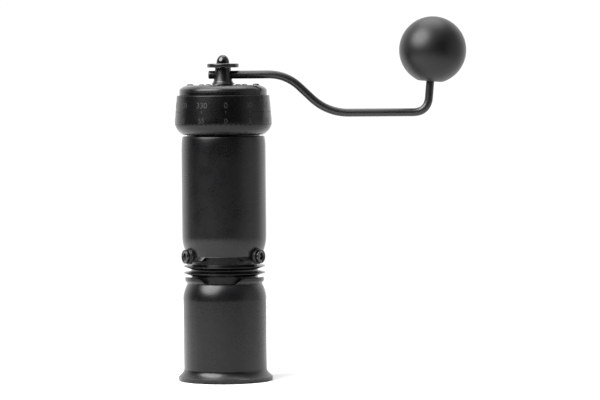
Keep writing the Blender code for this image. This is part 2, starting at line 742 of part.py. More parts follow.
def make_body(group, holes):
    body = turned("body_shell", body_profile(), BIG, black_coat("body coat"), group)
    cut(body, holes)
    over = 1.0 * MM
    high, low = BODY_NOTCH_TOP / 2, BODY_NOTCH_BOTTOM / 2
    rise = (low - high) / (BODY_WAIST - BODY_BOTTOM)
    ceiling = BODY_WAIST - 0.2 * MM
    outline = [
        (-low - rise * over, BODY_BOTTOM - over),
        (low + rise * over, BODY_BOTTOM - over),
        (high, ceiling),
        (-high, ceiling),
    ]
    notches = bmesh.new()
    for angle in THIRDS:
        notch = radial_prism(angle, outline, NECK_RADIUS - over, LIP_RADIUS + over)
        join_shapes(notches, notch)
    cut(body, cutter("body_notches", notches, group))
    pockets = bmesh.new()
    for angle in BOLT_ANGLES:
        start = radial(angle, WAIST_RADIUS, BOLT_HEIGHT)
        end = radial(angle, BODY_RADIUS + 4 * MM, BOLT_HEIGHT)
        join_shapes(pockets, cylinder(FERRULE_RADIUS + GAP, start, end, SMALL))
    cut(body, cutter("ferrule_pockets", pockets, group))
    slots = bmesh.new()
    room = DIAL_TRAVEL + TRAVEL_GAP
    for angle in THIRDS:
        bottom, top = LUG_BOTTOM - room, LUG_BOTTOM + LUG_SIZE[2] + room
        reach = SPIGOT_RADIUS + over
        slot = radial_box(angle, SPIGOT_BORE - over, reach, LUG_SIZE[1] + 2 * GAP, bottom, top)
        join_shapes(slots, slot)
    cut(body, cutter("lug_slots", slots, group))
    ring(
        "dial_snap_ring",
        SPIGOT_RADIUS - 1.0 * MM + GAP,
        SPIGOT_RADIUS + SNAP_REACH,
        SNAP_BOTTOM,
        SNAP_BOTTOM + 1.2 * MM,
        BIG,
        steel("snap ring steel"),
        group,
    )


def make_bolts(group):
    """Three bolts through the body's collar into the burr carrier, each on a round ferrule."""
    seat = WAIST_RADIUS + GAP
    head = seat + FERRULE_HEIGHT + GAP
    inside = head - (NECK_RADIUS - 3.4 * MM)
    for number, angle in enumerate(BOLT_ANGLES, 1):
        turn = (0, math.pi / 2, angle)
        profile = [
            (BOLT_SHANK + GAP, 0),
            (FERRULE_RADIUS, 0),
            (FERRULE_RADIUS, FERRULE_HEIGHT - 0.3 * MM),
            (FERRULE_RADIUS - 0.3 * MM, FERRULE_HEIGHT),
            (BOLT_SHANK + GAP, FERRULE_HEIGHT),
        ]
        coat = black_satin(f"ferrule coat {number}")
        ferrule = turned(f"bolt_ferrule_{number}", profile, SMALL, coat, group)
        ferrule.rotation_euler = turn
        ferrule.location = radial(angle, seat, BOLT_HEIGHT)
        top = BOLT_HEAD_HEIGHT
        profile = [
            (0, -inside),
            (BOLT_SHANK, -inside),
            (BOLT_SHANK, 0),
            (BOLT_HEAD, 0),
            (BOLT_HEAD, top - 0.5 * MM),
            (BOLT_HEAD - 0.5 * MM, top),
            (BOLT_SOCKET + 0.5 * MM, top),
            (BOLT_SOCKET, top - 0.4 * MM),
            (BOLT_SOCKET, top - 1.4 * MM),
            (0, top - 1.4 * MM),
        ]
        shape = spun(profile, SMALL)
        bolt = add_object(f"collar_bolt_{number}", shape, black_satin(f"bolt coat {number}"), group)
        bolt.rotation_euler = turn
        bolt.location = radial(angle, head, BOLT_HEIGHT)


# The adjusting dial


def dial_profile():
    bore = SPIGOT_RADIUS + GAP + 0.05 * MM
    room = DIAL_TRAVEL + TRAVEL_GAP
    lug_end = SPIGOT_BORE - GAP + LUG_SIZE[0]
    groove = lug_end + GAP
    ledge = SNAP_BOTTOM - SNAP_LEDGE
    counterbore = SPIGOT_RADIUS + SNAP_REACH + GAP
    depth = DIAL_RADIUS - DIAL_BOTTOM_RADIUS
    widest = DIAL_BOTTOM + DIAL_ROUND
    skirt = curve_points(
        5, lambda t: (DIAL_RADIUS - depth * (1 - t) ** 2.5, DIAL_BOTTOM + DIAL_ROUND * t)
    )
    return [
        (bore, DIAL_BOTTOM),
        *skirt,
        (DIAL_RADIUS - 0.1 * MM, widest + 2 * MM),
        (DIAL_TOP_RADIUS, DIAL_TOP - 0.4 * MM),
        (DIAL_TOP_RADIUS - 0.4 * MM, DIAL_TOP),
        (counterbore, DIAL_TOP),
        (counterbore, ledge),
        (bore, ledge),
        (bore, LUG_BOTTOM + LUG_SIZE[2] + room),
        (groove, LUG_BOTTOM + LUG_SIZE[2] + room),
        (groove, LUG_BOTTOM - room),
        (bore, LUG_BOTTOM - room),
    ]


def make_dial(group, grinder_group):
    dial = turned("adjusting_dial", dial_profile(), BIG, black_satin("dial coat"), group)
    ledge = SNAP_BOTTOM - SNAP_LEDGE
    track = SPIGOT_RADIUS + 1.3 * MM
    ball = 0.7 * MM
    place = radial(math.radians(60), track)
    pocket_bottom = ledge - 2.0 * MM
    pocket = cylinder(ball + 0.1 * MM, (*place.xy, pocket_bottom), (*place.xy, ledge + 1 * MM), 12)
    cut(dial, cutter("detent_pocket", pocket, group))
    sphere = bmesh.new()
    bmesh.ops.create_icosphere(sphere, subdivisions=2, radius=ball)
    add_object("detent_ball", sphere, steel("detent steel"), group, (*place.xy, ledge))
    spring = cylinder(ball - 0.1 * MM, (0, 0, 0), (0, 0, 0.9 * MM), 12)
    seat = (*place.xy, pocket_bottom + 0.2 * MM)
    add_object("detent_spring", spring, steel("detent spring steel"), group, seat)
    make_click_ring(grinder_group, ledge + ball + 0.1 * MM)


def make_click_ring(group, bottom):
    """A washer whose underside has notches for the detent ball."""
    notches = 24
    inner, outer = SPIGOT_RADIUS + GAP, SPIGOT_RADIUS + SNAP_REACH
    top = SNAP_BOTTOM - 0.2 * MM
    step = 0.2 * MM
    under = []
    for radius in (inner, outer):
        loop = toothed_loop(radius, 0, bottom, notches)
        under.append([(x, y, z + step * (i % 2)) for i, (x, y, z) in enumerate(loop)])
    over = [toothed_loop(radius, 0, top, notches) for radius in (outer, inner)]
    add_object("click_ring", loops_to_tube(under + over), steel("click ring steel"), group)


# The lid


def make_lid(group):
    skirt = SPIGOT_RADIUS + 2 * GAP
    depth = LID_BOTTOM - 2.4 * MM
    sunk = LID_TOP - 0.6 * MM
    under = LID_BOTTOM + 1.2 * MM
    profile = [
        (LID_HOLE, under),
        (skirt - 1 * MM, under),
        (skirt, LID_BOTTOM),
        (skirt, depth),
        (skirt + 0.7 * MM, depth),
        (skirt + 0.7 * MM, LID_BOTTOM),
        (LID_RADIUS, LID_BOTTOM),
        (LID_RADIUS, LID_BOTTOM + 2.8 * MM),
        (LID_RADIUS - 0.6 * MM, LID_TOP - 2.0 * MM),
        (LID_RADIUS - 2.4 * MM, LID_TOP - 0.8 * MM),
        (LID_TOP_RADIUS, LID_TOP),
        (LID_HOLE + 2.2 * MM, LID_TOP),
        (LID_HOLE + 1.6 * MM, sunk),
        (LID_HOLE, sunk),
    ]
    lid = turned("hopper_lid", profile, BIG, black_satin("lid coat"), group)
    holes = bmesh.new()
    pips = bmesh.new()
    shank = 1.1 * MM
    shank_bottom = LID_TOP - 2.6 * MM
    for i in range(4):
        angle = math.tau * i / 4 + LID_CLOCKING
        spot = radial(angle, LID_SCREW_CIRCLE)
        hole = cylinder(shank + 0.2 * MM, (*spot.xy, shank_bottom - GAP), (*spot.xy, LID_TOP + MM), 12)
        join_shapes(holes, hole)
        spot = radial(angle + math.tau / 8, PIP_CIRCLE)
        dome = [
            (0, -1 * MM),
            (PIP_RADIUS, -1 * MM),
            (PIP_RADIUS, 0.1 * MM),
            (PIP_RADIUS * 0.6, 0.6 * MM),
            (0, 0.7 * MM),
        ]
        pip = spun(dome, 10)
        bmesh.ops.translate(pip, verts=pip.verts, vec=(*spot.xy, LID_TOP))
        join_shapes(pips, pip)
    cut(lid, cutter("lid_screw_holes", holes, group))
    unite(lid, "lid_pips", pips, group)
    for i in range(4):
        spot = radial(math.tau * i / 4 + LID_CLOCKING, LID_SCREW_CIRCLE)
        dome = [
            (0, shank_bottom),
            (shank, shank_bottom),
            (shank, LID_TOP + 0.1 * MM),
            (LID_SCREW_RADIUS, LID_TOP + 0.1 * MM),
            (LID_SCREW_RADIUS * 0.75, LID_TOP + LID_SCREW_DOME * 0.7),
            (0, LID_TOP + 0.1 * MM + LID_SCREW_DOME),
        ]
        screw = turned(f"lid_screw_{i + 1}", dome, 12, black_satin(f"lid screw coat {i + 1}"), group)
        screw.location += Vector((*spot.xy, 0))
    ring(
        "lid_seal",
        skirt + 0.9 * MM,
        skirt + 1.6 * MM,
        depth + 0.4 * MM,
        depth + 1.6 * MM,
        BIG,
        rubber("lid seal rubber"),
        group,
    )


# The crank


def make_hub(group):
    bottom = HEX_BOTTOM + 0.7 * MM
    skirt_bottom = LID_TOP + GAP
    profile = [
        (0, bottom),
        (SLEEVE_RADIUS, bottom),
        (SLEEVE_RADIUS, skirt_bottom),
        (SKIRT_RADIUS, skirt_bottom),
        (SKIRT_RADIUS, skirt_bottom + 0.5 * MM),
        (HUB_FOOT_RADIUS, skirt_bottom + 1.6 * MM),
        (HUB_RADIUS + 0.2 * MM, ROD_HEIGHT),
        (HUB_RADIUS, HUB_TOP),
        (0, HUB_TOP),
    ]
    hub = turned("crank_hub", profile, MEDIUM, black_satin("hub coat"), group)
    socket = cylinder(SOCKET_CORNER, (0, 0, bottom - MM), (0, 0, HEX_TOP + GAP), 6)
    cut(hub, cutter("hub_socket", socket, group))
    side = cylinder(ROD_RADIUS + GAP, (-ROD_STUB, 0, ROD_HEIGHT), (ROD_STUB, 0, ROD_HEIGHT), SMALL)
    cut(hub, cutter("rod_hole", side, group))
    stud_bottom = HEX_TOP + 1.2 * MM
    stud_hole = cutter(
        "stud_hole",
        cylinder(STUD_RADIUS + GAP, (0, 0, stud_bottom - GAP), (0, 0, HUB_TOP + MM), 12),
        group,
    )
    cut(hub, stud_hole)
    return stud_bottom, stud_hole


def arm_route():
    """The rod's centre line: stub, upper run, S-bend, lower run, corner and the knob's upright."""
    low = ROD_HEIGHT - ARM_DROP
    lean = Vector((math.sin(KNOB_LEAN), 0, math.cos(KNOB_LEAN)))
    knob = Vector((ARM_REACH, 0, KNOB_HEIGHT))
    top = knob + lean * 5.5 * MM
    corner = knob - lean * ((KNOB_HEIGHT - low) / lean.z)
    bend = 9.0 * MM
    start = Vector((-ROD_STUB, 0, ROD_HEIGHT))
    upper = Vector((38.0 * MM, 0, ROD_HEIGHT))
    lower = Vector((62.5 * MM, 0, low))
    route = [start]
    for before, turn, after, size in (
        (start, upper, lower, 11 * MM),
        (upper, lower, corner, 13 * MM),
        (lower, corner, top, bend),
    ):
        into = (before - turn).normalized() * size
        out = (after - turn).normalized() * size
        for i in range(7):
            t = i / 6
            route.append(turn + into * (1 - t) ** 2 + out * t * t)
    route.append(top)
    return route


def make_arm(group, stud_hole):
    line = bpy.data.curves.new("crank_arm", "CURVE")
    line.dimensions = "3D"
    line.bevel_depth = ROD_RADIUS
    line.bevel_resolution = 3
    line.use_fill_caps = True
    route = arm_route()
    spline = line.splines.new("POLY")
    spline.points.add(len(route) - 1)
    for point, place in zip(spline.points, route):
        point.co = (*place, 1)
    guide = bpy.data.objects.new("arm_guide", line)
    bpy.context.collection.objects.link(guide)
    shape = bmesh.new()
    shape.from_mesh(guide.to_mesh())
    guide.to_mesh_clear()
    bpy.data.objects.remove(guide)
    bmesh.ops.remove_doubles(shape, verts=shape.verts, dist=1e-6)
    bmesh.ops.recalc_face_normals(shape, faces=shape.faces)
    arm = add_object("crank_arm", shape, black_satin("arm coat"), group)
    cut(arm, stud_hole)
    return arm


def make_hub_cap(group, stud_bottom):
    """The flange and the crown nut on the hub's stud."""
    flange = HUB_TOP + GAP
    flange_top = flange + FLANGE_THICKNESS
    edge = 0.5 * MM
    hole = STUD_RADIUS + GAP
    profile = [
        (hole, flange),
        (FLANGE_RADIUS - edge, flange),
        (FLANGE_RADIUS, flange + edge),
        (FLANGE_RADIUS, flange_top - edge),
        (FLANGE_RADIUS - edge, flange_top),
        (hole, flange_top),
    ]
    turned("hub_flange", profile, MEDIUM, black_satin("flange coat"), group)
    nose = flange_top + GAP
    blind = nose + 0.55 * NOSE_HEIGHT
    outside = curve_points(
        5,
        lambda t: (
            NOSE_RADIUS * math.sqrt(max(0.0, 1 - t**1.7)),
            nose + (0.15 + 0.85 * t) * NOSE_HEIGHT,
        ),
    )
    profile = [(0, blind), (hole, blind), (hole, nose), (NOSE_RADIUS, nose), *outside]
    turned("crown_nut", profile, MEDIUM, steel("nut steel"), group)
    stud_top = blind - GAP
    ring("hub_stud", 0, STUD_RADIUS, stud_bottom, stud_top, 12, steel("stud steel"), group)


def make_knob(group, axis, arm):
    """The knob turns on a sleeve round the rod, held by a screw in the rod's end. Heights here are from the
    knob's centre, along its own axis."""
    sleeve_inner = ROD_RADIUS + GAP
    sleeve_outer = sleeve_inner + SLEEVE_WALL
    bore = sleeve_outer + GAP
    rod_end = 5.5 * MM
    bore_top = rod_end + 5.2 * MM
    flat = math.sqrt(KNOB_RADIUS**2 - KNOB_FLAT**2)
    start = math.asin(-KNOB_FLAT / KNOB_RADIUS)
    ball = curve_points(
        11,
        lambda t: (
            KNOB_RADIUS * math.cos(start + (math.pi / 2 - start) * t),
            KNOB_RADIUS * math.sin(start + (math.pi / 2 - start) * t),
        ),
    )
    ball[-1] = (0, KNOB_RADIUS)
    profile = [(0, bore_top), (bore, bore_top), (bore, -KNOB_FLAT), (flat, -KNOB_FLAT), *ball[1:]]
    add_object("knob", spun(profile, MEDIUM), black_coat("knob coat"), axis)
    sleeve_bottom = -KNOB_FLAT + 1.2 * MM
    sleeve_top = rod_end - GAP
    sleeve = [
        (sleeve_inner, sleeve_bottom),
        (sleeve_outer, sleeve_bottom),
        (sleeve_outer, sleeve_top),
        (sleeve_inner, sleeve_top),
    ]
    add_object("knob_sleeve", spun(sleeve, SMALL), brass("sleeve bronze"), axis)
    shank = 1.1 * MM
    depth = rod_end - 7 * MM
    hole = cutter("knob_screw_hole", cylinder(shank + GAP, (0, 0, depth), (0, 0, rod_end + MM), 12), group)
    hole.location = axis.location
    hole.rotation_euler = axis.rotation_euler
    cut(arm, hole)
    seat = rod_end + GAP
    screw = [
        (0, depth + GAP),
        (shank, depth + GAP),
        (shank, seat),
        (sleeve_outer - 0.5 * MM, seat),
        (sleeve_outer - 0.5 * MM, seat + 1.6 * MM),
        (1.2 * MM, seat + 2.0 * MM),
        (1.2 * MM, seat + 1.0 * MM),
        (0, seat + 1.0 * MM),
    ]
    holder = add_object("knob_screw", spun(screw, 12), steel("knob screw steel"), group)
    holder.location = axis.location
    holder.rotation_euler = axis.rotation_euler


def joint_axis(name, location=(0, 0, 0), lean=0.0, parent=None):
    """An empty on a joint's axis, which holds the pieces that move together."""
    empty = bpy.data.objects.new(name, None)
    empty.location = location
    empty.rotation_euler = (0, lean, 0)
    empty.parent = parent
    bpy.context.collection.objects.link(empty)
    return empty


def build():
    for obj in list(bpy.data.objects):
        bpy.data.objects.remove(obj)
    cup = joint_axis("cup_axis")
    grinder = joint_axis("grinder_axis", parent=cup)
    dial = joint_axis("dial_axis", parent=grinder)
    carriage = joint_axis("carriage_axis", parent=grinder)
    spindle = joint_axis("spindle_axis", parent=carriage)
    crank = joint_axis("crank_axis", parent=spindle)
    lid = joint_axis("lid_axis", parent=dial)
    knob = joint_axis("knob_axis", (ARM_REACH, 0, KNOB_HEIGHT), KNOB_LEAN, crank)

    make_cup(cup)
    holes = bolt_holes(grinder)
    make_carrier(grinder, holes)
    make_outer_burr(grinder)
    make_body(grinder, holes)
    make_bolts(grinder)
    make_lower_bridge(grinder)
    make_preload_spring(grinder)
    make_dial(dial, grinder)
    make_carriage(carriage)
    make_spindle(spindle)
    make_bearing(spindle, carriage)
    make_inner_burr(spindle)
    make_burr_screw(spindle)
    make_lid(lid)
    stud_bottom, stud_hole = make_hub(crank)
    arm = make_arm(crank, stud_hole)
    make_hub_cap(crank, stud_bottom)
    make_knob(crank, knob, arm)


build()
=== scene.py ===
import json
import math

import bmesh
import bpy
from mathutils import Matrix, Vector


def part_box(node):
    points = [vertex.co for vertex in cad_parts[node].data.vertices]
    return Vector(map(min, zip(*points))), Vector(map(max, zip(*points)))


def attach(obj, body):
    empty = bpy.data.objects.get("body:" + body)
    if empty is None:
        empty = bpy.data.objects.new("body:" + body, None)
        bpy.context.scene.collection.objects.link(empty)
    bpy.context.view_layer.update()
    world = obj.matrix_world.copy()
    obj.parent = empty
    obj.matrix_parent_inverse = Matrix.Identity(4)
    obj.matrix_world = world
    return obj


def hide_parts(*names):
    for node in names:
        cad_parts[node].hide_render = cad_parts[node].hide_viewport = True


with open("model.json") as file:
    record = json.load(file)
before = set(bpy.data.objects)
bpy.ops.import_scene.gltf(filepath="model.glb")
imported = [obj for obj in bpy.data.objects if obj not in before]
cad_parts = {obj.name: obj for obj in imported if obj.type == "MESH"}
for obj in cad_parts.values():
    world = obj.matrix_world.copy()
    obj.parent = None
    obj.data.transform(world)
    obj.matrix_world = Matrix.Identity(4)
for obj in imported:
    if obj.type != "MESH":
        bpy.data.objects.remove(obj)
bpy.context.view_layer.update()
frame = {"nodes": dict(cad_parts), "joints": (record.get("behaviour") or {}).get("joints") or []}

mm = 0.001
fullTurn = math.tau
thirds = [math.radians(angle) for angle in (-90, 30, 150)]  # notches of both collars
boltAngles = [math.radians(angle) for angle in (-150, -30, 90)]  # midway between the notches
boltHole = 2.7 * mm         # radius of the holes that the collar bolts go through
gap = 0.3 * mm              # between pieces that touch in use


# Camera: a long lens a little above the lid, turned slightly round to the right.

cameraLook = {
    "distance": 1.80,
    "height": 0.185,
    "aimAt": (0.0457, 0.0, 0.1082),
    "sideways": math.radians(2.55),
    "roll": math.radians(0.44),
    "lens": 180.0,
}


def makeCamera(look):
    aim = Vector(look["aimAt"])
    away = Vector((math.sin(look["sideways"]), -math.cos(look["sideways"]), 0))
    spot = aim + look["distance"] * away
    spot.z = look["height"]
    data = bpy.data.cameras.new("camera")
    data.lens = look["lens"]
    data.sensor_width = 36.0
    data.clip_end = 50.0
    camera = bpy.data.objects.new("camera", data)
    camera.location = spot
    turn = (aim - spot).to_track_quat("-Z", "Y").to_matrix() @ Matrix.Rotation(-look["roll"], 3, "Z")
    camera.rotation_euler = turn.to_euler()
    bpy.context.collection.objects.link(camera)
    bpy.context.scene.camera = camera


makeCamera(cameraLook)
print("camera is set")


# Small tools for shapes

def blendCorner(before, corner, after, size, steps):
    # a short curve that takes the point off a corner
    into = before - corner
    out = after - corner
    into *= min(size / into.length, 0.45)
    out *= min(size / out.length, 0.45)
    return [corner + into * (1 - i / steps) ** 2 + out * (i / steps) ** 2 for i in range(steps + 1)]


def softProfile(points, size=0.3 * mm, steps=3, straight=12.0):
    # rounds each corner of a (radius, height) profile; a third number is that corner's own size
    last = len(points) - 1
    onAxis = points[0][0] == 0 and points[last][0] == 0
    rounded = []
    for i, point in enumerate(points):
        here = Vector(point[:2])
        reach = point[2] if len(point) > 2 else size
        before = Vector(points[i - 1][:2])
        after = Vector(points[(i + 1) % (last + 1)][:2])
        atEnd = onAxis and i in (0, last)
        if atEnd or reach == 0 or (here - before).angle(after - here) < math.radians(straight):
            rounded.append(here)
        else:
            rounded += blendCorner(before, here, after, reach, steps)
    return rounded


def turnedShape(points, steps=144):
    # a closed bmesh turned round Z; a profile that starts and ends off the axis is a ring
    shape = bmesh.new()
    made = [shape.verts.new((point[0], 0, point[1])) for point in points]
    edges = [shape.edges.new(pair) for pair in zip(made, made[1:])]
    if points[0][0] > 0 or points[-1][0] > 0:
        edges.append(shape.edges.new((made[-1], made[0])))
    bmesh.ops.spin(shape, geom=made + edges, axis=(0, 0, 1), angle=fullTurn, steps=steps)
    bmesh.ops.remove_doubles(shape, verts=shape.verts, dist=1e-6)
    bmesh.ops.recalc_face_normals(shape, faces=shape.faces)
    return shape


def rowsShape(rows, ringed=True):
    # a closed bmesh skinned over equal rows of points, the last row joined back to the first
    shape = bmesh.new()
    made = [[shape.verts.new(point) for point in row] for row in rows]
    count = len(rows[0])
    for row, following in zip(made, made[1:] + made[:1]):
        for i in range(count if ringed else count - 1):
            j = (i + 1) % count
            shape.faces.new((row[i], row[j], following[j], following[i]))
    bmesh.ops.remove_doubles(shape, verts=shape.verts, dist=1e-6)
    bmesh.ops.recalc_face_normals(shape, faces=shape.faces)
    return shape


def rodShape(radius, start, end, sides=48):
    shape = bmesh.new()
    start, end = Vector(start), Vector(end)
    along = end - start
    spot = Matrix.Translation((start + end) / 2) @ along.to_track_quat("Z", "X").to_matrix().to_4x4()
    bmesh.ops.create_cone(
        shape, cap_ends=True, segments=sides, radius1=radius, radius2=radius,
        depth=along.length, matrix=spot,
    )
    return shape


def blockShape(angle, inner, outer, width, bottom, top):
    # a block that points outwards from the axis
    shape = bmesh.new()
    bmesh.ops.create_cube(shape, size=1)
    size = Matrix.Diagonal((outer - inner, width, top - bottom, 1))
    middle = Matrix.Translation(((inner + outer) / 2, 0, (bottom + top) / 2))
    shape.transform(Matrix.Rotation(angle, 4, "Z") @ middle @ size)
    return shape


def joined(shapes):
    # one bmesh from several that stand apart
    whole = bmesh.new()
    for shape in shapes:
        scratch = bpy.data.meshes.new("scratch")
        shape.to_mesh(scratch)
        shape.free()
        whole.from_mesh(scratch)
        bpy.data.meshes.remove(scratch)
    return whole


def around(angle, radius, height=0.0):
    return Vector((radius * math.cos(angle), radius * math.sin(angle), height))


def middle(node):
    low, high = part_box(node)
    return (low + high) / 2


def newPiece(name, shape):
    mesh = bpy.data.meshes.new(name)
    shape.to_mesh(mesh)
    shape.free()
    piece = bpy.data.objects.new(name, mesh)
    bpy.context.collection.objects.link(piece)
    return piece


def baked(piece):
    # the piece with its modifiers made part of its mesh
    graph = bpy.context.evaluated_depsgraph_get()
    mesh = bpy.data.meshes.new_from_object(piece.evaluated_get(graph))
    old = piece.data
    piece.modifiers.clear()
    piece.data = mesh
    bpy.data.meshes.remove(old)
    mesh.name = piece.name
    return piece


def carved(piece, cuts):
    # cuts each bmesh out of the piece
    tools = [newPiece(piece.name + "Cut", cut) for cut in cuts]
    for tool in tools:
        step = piece.modifiers.new("cut", "BOOLEAN")
        step.operation = "DIFFERENCE"
        step.solver = "EXACT"
        step.object = tool
    baked(piece)
    for tool in tools:
        bpy.data.objects.remove(tool)
    return piece


def takenBack(piece):
    # the piece as a bmesh again
    shape = bmesh.new()
    shape.from_mesh(piece.data)
    bpy.data.objects.remove(piece)
    return shape


def smoothed(piece, angle=38.0):
    # soft shading over the rounded edges, flat over the flats
    piece.data.shade_smooth()
    piece.data.set_sharp_from_angle(angle=math.radians(angle))
    step = piece.modifiers.new("normals", "WEIGHTED_NORMAL")
    step.keep_sharp = True
    return baked(piece)


def placed(piece, body, finish, nodes=()):
    piece.data.materials.clear()
    piece.data.materials.append(finish)
    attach(piece, body)
    if nodes:
        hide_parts(*nodes)
    return piece


def worked(tree, operation, *sources):
    # the output of a Math node that takes numbers or other nodes' outputs
    node = tree.nodes.new("ShaderNodeMath")
    node.operation = operation
    for socket, source in zip(node.inputs, sources):
        if isinstance(source, float):
            socket.default_value = source
        else:
            tree.links.new(source, socket)
    return node.outputs[0]


# Finishes

finishLook = {
    "powder": {
        "colour": (0.0022, 0.0022, 0.0026), "worn": (0.07, 0.07, 0.074), "rough": (0.25, 0.33),
        "grain": 1500.0, "grainDepth": 0.014, "gloss": 0.34, "cloud": 60.0, "cloudMix": 0.30, "edge": 0.55,
    },
    "dial": {
        "colour": (0.0012, 0.0012, 0.0015), "worn": (0.02, 0.02, 0.022), "rough": (0.24, 0.32),
        "grain": 2200.0, "grainDepth": 0.008, "gloss": 0.28, "cloud": 45.0, "cloudMix": 0.25, "edge": 0.35,
    },
    "lid": {
        "colour": (0.0015, 0.0015, 0.0018), "worn": (0.04, 0.04, 0.043), "rough": (0.22, 0.32),
        "grain": 1800.0, "grainDepth": 0.014, "gloss": 0.34, "cloud": 50.0, "cloudMix": 0.25, "edge": 0.30,
    },
    "blackScrew": {
        "colour": (0.0030, 0.0030, 0.0034), "worn": (0.06, 0.06, 0.063), "rough": (0.16, 0.26),
        "grain": 2600.0, "grainDepth": 0.012, "cloud": 150.0, "cloudMix": 0.25, "edge": 0.5,
    },
    "ferrule": {
        "colour": (0.0040, 0.0040, 0.0044), "worn": (0.04, 0.04, 0.04), "rough": (0.32, 0.48),
        "grain": 2400.0, "grainDepth": 0.015, "cloud": 120.0, "cloudMix": 0.25, "edge": 0.4,
    },
    "crank": {
        "colour": (0.0040, 0.0040, 0.0045), "worn": (0.03, 0.03, 0.03), "rough": (0.30, 0.38),
        "grain": 1700.0, "grainDepth": 0.010, "cloud": 70.0, "cloudMix": 0.30, "edge": 0.25,
    },
    "polished": {
        "colour": (0.0040, 0.0040, 0.0045), "worn": (0.03, 0.03, 0.03), "rough": (0.10, 0.20),
        "grain": 900.0, "grainDepth": 0.004, "cloud": 160.0, "cloudMix": 0.20, "edge": 0.2,
    },
    "knob": {
        "colour": (0.0040, 0.0040, 0.0045), "worn": (0.03, 0.03, 0.03), "rough": (0.36, 0.44),
        "grain": 1300.0, "grainDepth": 0.012, "gloss": 0.34, "cloud": 55.0, "cloudMix": 0.30, "edge": 0.15,
    },
    "bridge": {
        "colour": (0.018, 0.018, 0.019), "worn": (0.16, 0.16, 0.16), "rough": (0.38, 0.55),
        "grain": 1600.0, "grainDepth": 0.03, "cloud": 90.0, "cloudMix": 0.35, "edge": 0.4,
    },
    "steel": {
        "colour": (0.50, 0.50, 0.51), "worn": (0.66, 0.66, 0.67), "rough": (0.20, 0.38), "metallic": 1.0,
        "grain": 900.0, "grainDepth": 0.03, "cloud": 80.0, "cloudMix": 0.25, "edge": 0.3, "brushed": 14.0,
    },
    "burr": {
        "colour": (0.36, 0.36, 0.37), "worn": (0.62, 0.62, 0.63), "rough": (0.26, 0.46), "metallic": 1.0,
        "grain": 1200.0, "grainDepth": 0.08, "cloud": 120.0, "cloudMix": 0.40, "edge": 0.6,
    },
    "bronze": {
        "colour": (0.46, 0.30, 0.13), "worn": (0.66, 0.48, 0.26), "rough": (0.26, 0.44), "metallic": 1.0,
        "grain": 1400.0, "grainDepth": 0.05, "cloud": 100.0, "cloudMix": 0.40, "edge": 0.4,
    },
    "rubber": {
        "colour": (0.014, 0.014, 0.014), "worn": (0.04, 0.04, 0.04), "rough": (0.70, 0.88),
        "grain": 1100.0, "grainDepth": 0.12, "cloud": 60.0, "cloudMix": 0.40, "edge": 0.1,
    },
    "print": {
        "colour": (0.006, 0.006, 0.007), "worn": (0.008, 0.008, 0.008), "rough": (0.45, 0.60),
        "grain": 2500.0, "grainDepth": 0.05, "cloud": 300.0, "cloudMix": 0.50, "edge": 0.0,
    },
    # near-black, low-sheen finish of the flat dots and index line: painted shade standing in for the hollow
    # of engraved marks
    "dimple": {
        "colour": (0.0015, 0.0015, 0.0015), "worn": (0.002, 0.002, 0.002), "rough": (0.75, 0.90),
        "grain": 2500.0, "grainDepth": 0.02, "gloss": 0.05, "cloud": 200.0, "cloudMix": 0.20, "edge": 0.0,
    },
}


def makeFinish(name, look):
    finish = bpy.data.materials.new(name)
    finish.use_nodes = True
    tree = finish.node_tree
    shader = tree.nodes["Principled BSDF"]
    shader.inputs["Metallic"].default_value = look.get("metallic", 0.0)
    shader.inputs["Specular IOR Level"].default_value = look.get("gloss", 0.5)
    coords = tree.nodes.new("ShaderNodeTexCoord")

    def noise(size, detail, source):
        node = tree.nodes.new("ShaderNodeTexNoise")
        node.inputs["Scale"].default_value = size
        node.inputs["Detail"].default_value = detail
        tree.links.new(source, node.inputs["Vector"])
        return node.outputs["Fac"]

    def ranged(value, low, high, toLow, toHigh):
        node = tree.nodes.new("ShaderNodeMapRange")
        for socket, number in zip(("From Min", "From Max", "To Min", "To Max"), (low, high, toLow, toHigh)):
            node.inputs[socket].default_value = number
        tree.links.new(value, node.inputs["Value"])
        return node.outputs["Result"]

    def mixed(amount, first, second):
        node = tree.nodes.new("ShaderNodeMix")
        node.data_type = "RGBA"
        tree.links.new(amount, node.inputs["Factor"])
        for socket, colour in ((node.inputs[6], first), (node.inputs[7], second)):
            if isinstance(colour, tuple):
                socket.default_value = (*colour, 1.0)
            else:
                tree.links.new(colour, socket)
        return node.outputs[2]

    stretch = tree.nodes.new("ShaderNodeMapping")  # brush marks run round a turned steel piece
    stretch.inputs["Scale"].default_value = (1, 1, look.get("brushed", 1.0))
    tree.links.new(coords.outputs["Object"], stretch.inputs["Vector"])
    grain = noise(look["grain"], 3.0, stretch.outputs["Vector"])
    cloud = noise(look["cloud"], 4.0, coords.outputs["Object"])

    # the base colour drifts a little, and rubs lighter along the edges
    lighter = tuple(channel * (1 + look["cloudMix"]) for channel in look["colour"])
    darker = tuple(channel * (1 - look["cloudMix"]) for channel in look["colour"])
    base = mixed(ranged(cloud, 0.35, 0.65, 0.0, 1.0), darker, lighter)
    geometry = tree.nodes.new("ShaderNodeNewGeometry")
    edge = ranged(geometry.outputs["Pointiness"], 0.52, 0.62, 0.0, look["edge"])
    rub = worked(tree, "MULTIPLY", edge, ranged(grain, 0.35, 0.60, 0.35, 1.0))
    tree.links.new(mixed(rub, base, look["worn"]), shader.inputs["Base Color"])

    # the gloss follows the grain and the drift of the coat
    both = worked(tree, "ADD", grain, cloud)
    tree.links.new(ranged(both, 0.75, 1.25, *look["rough"]), shader.inputs["Roughness"])
    bump = tree.nodes.new("ShaderNodeBump")
    bump.inputs["Strength"].default_value = 1.0
    bump.inputs["Distance"].default_value = look["grainDepth"] * mm
    tree.links.new(grain, bump.inputs["Height"])
    tree.links.new(bump.outputs["Normal"], shader.inputs["Normal"])
    return finish


finish = {name: makeFinish(name, look) for name, look in finishLook.items()}
print("finishes are made:", len(finish))


# Finishes of the pieces that stay as they come: the works inside

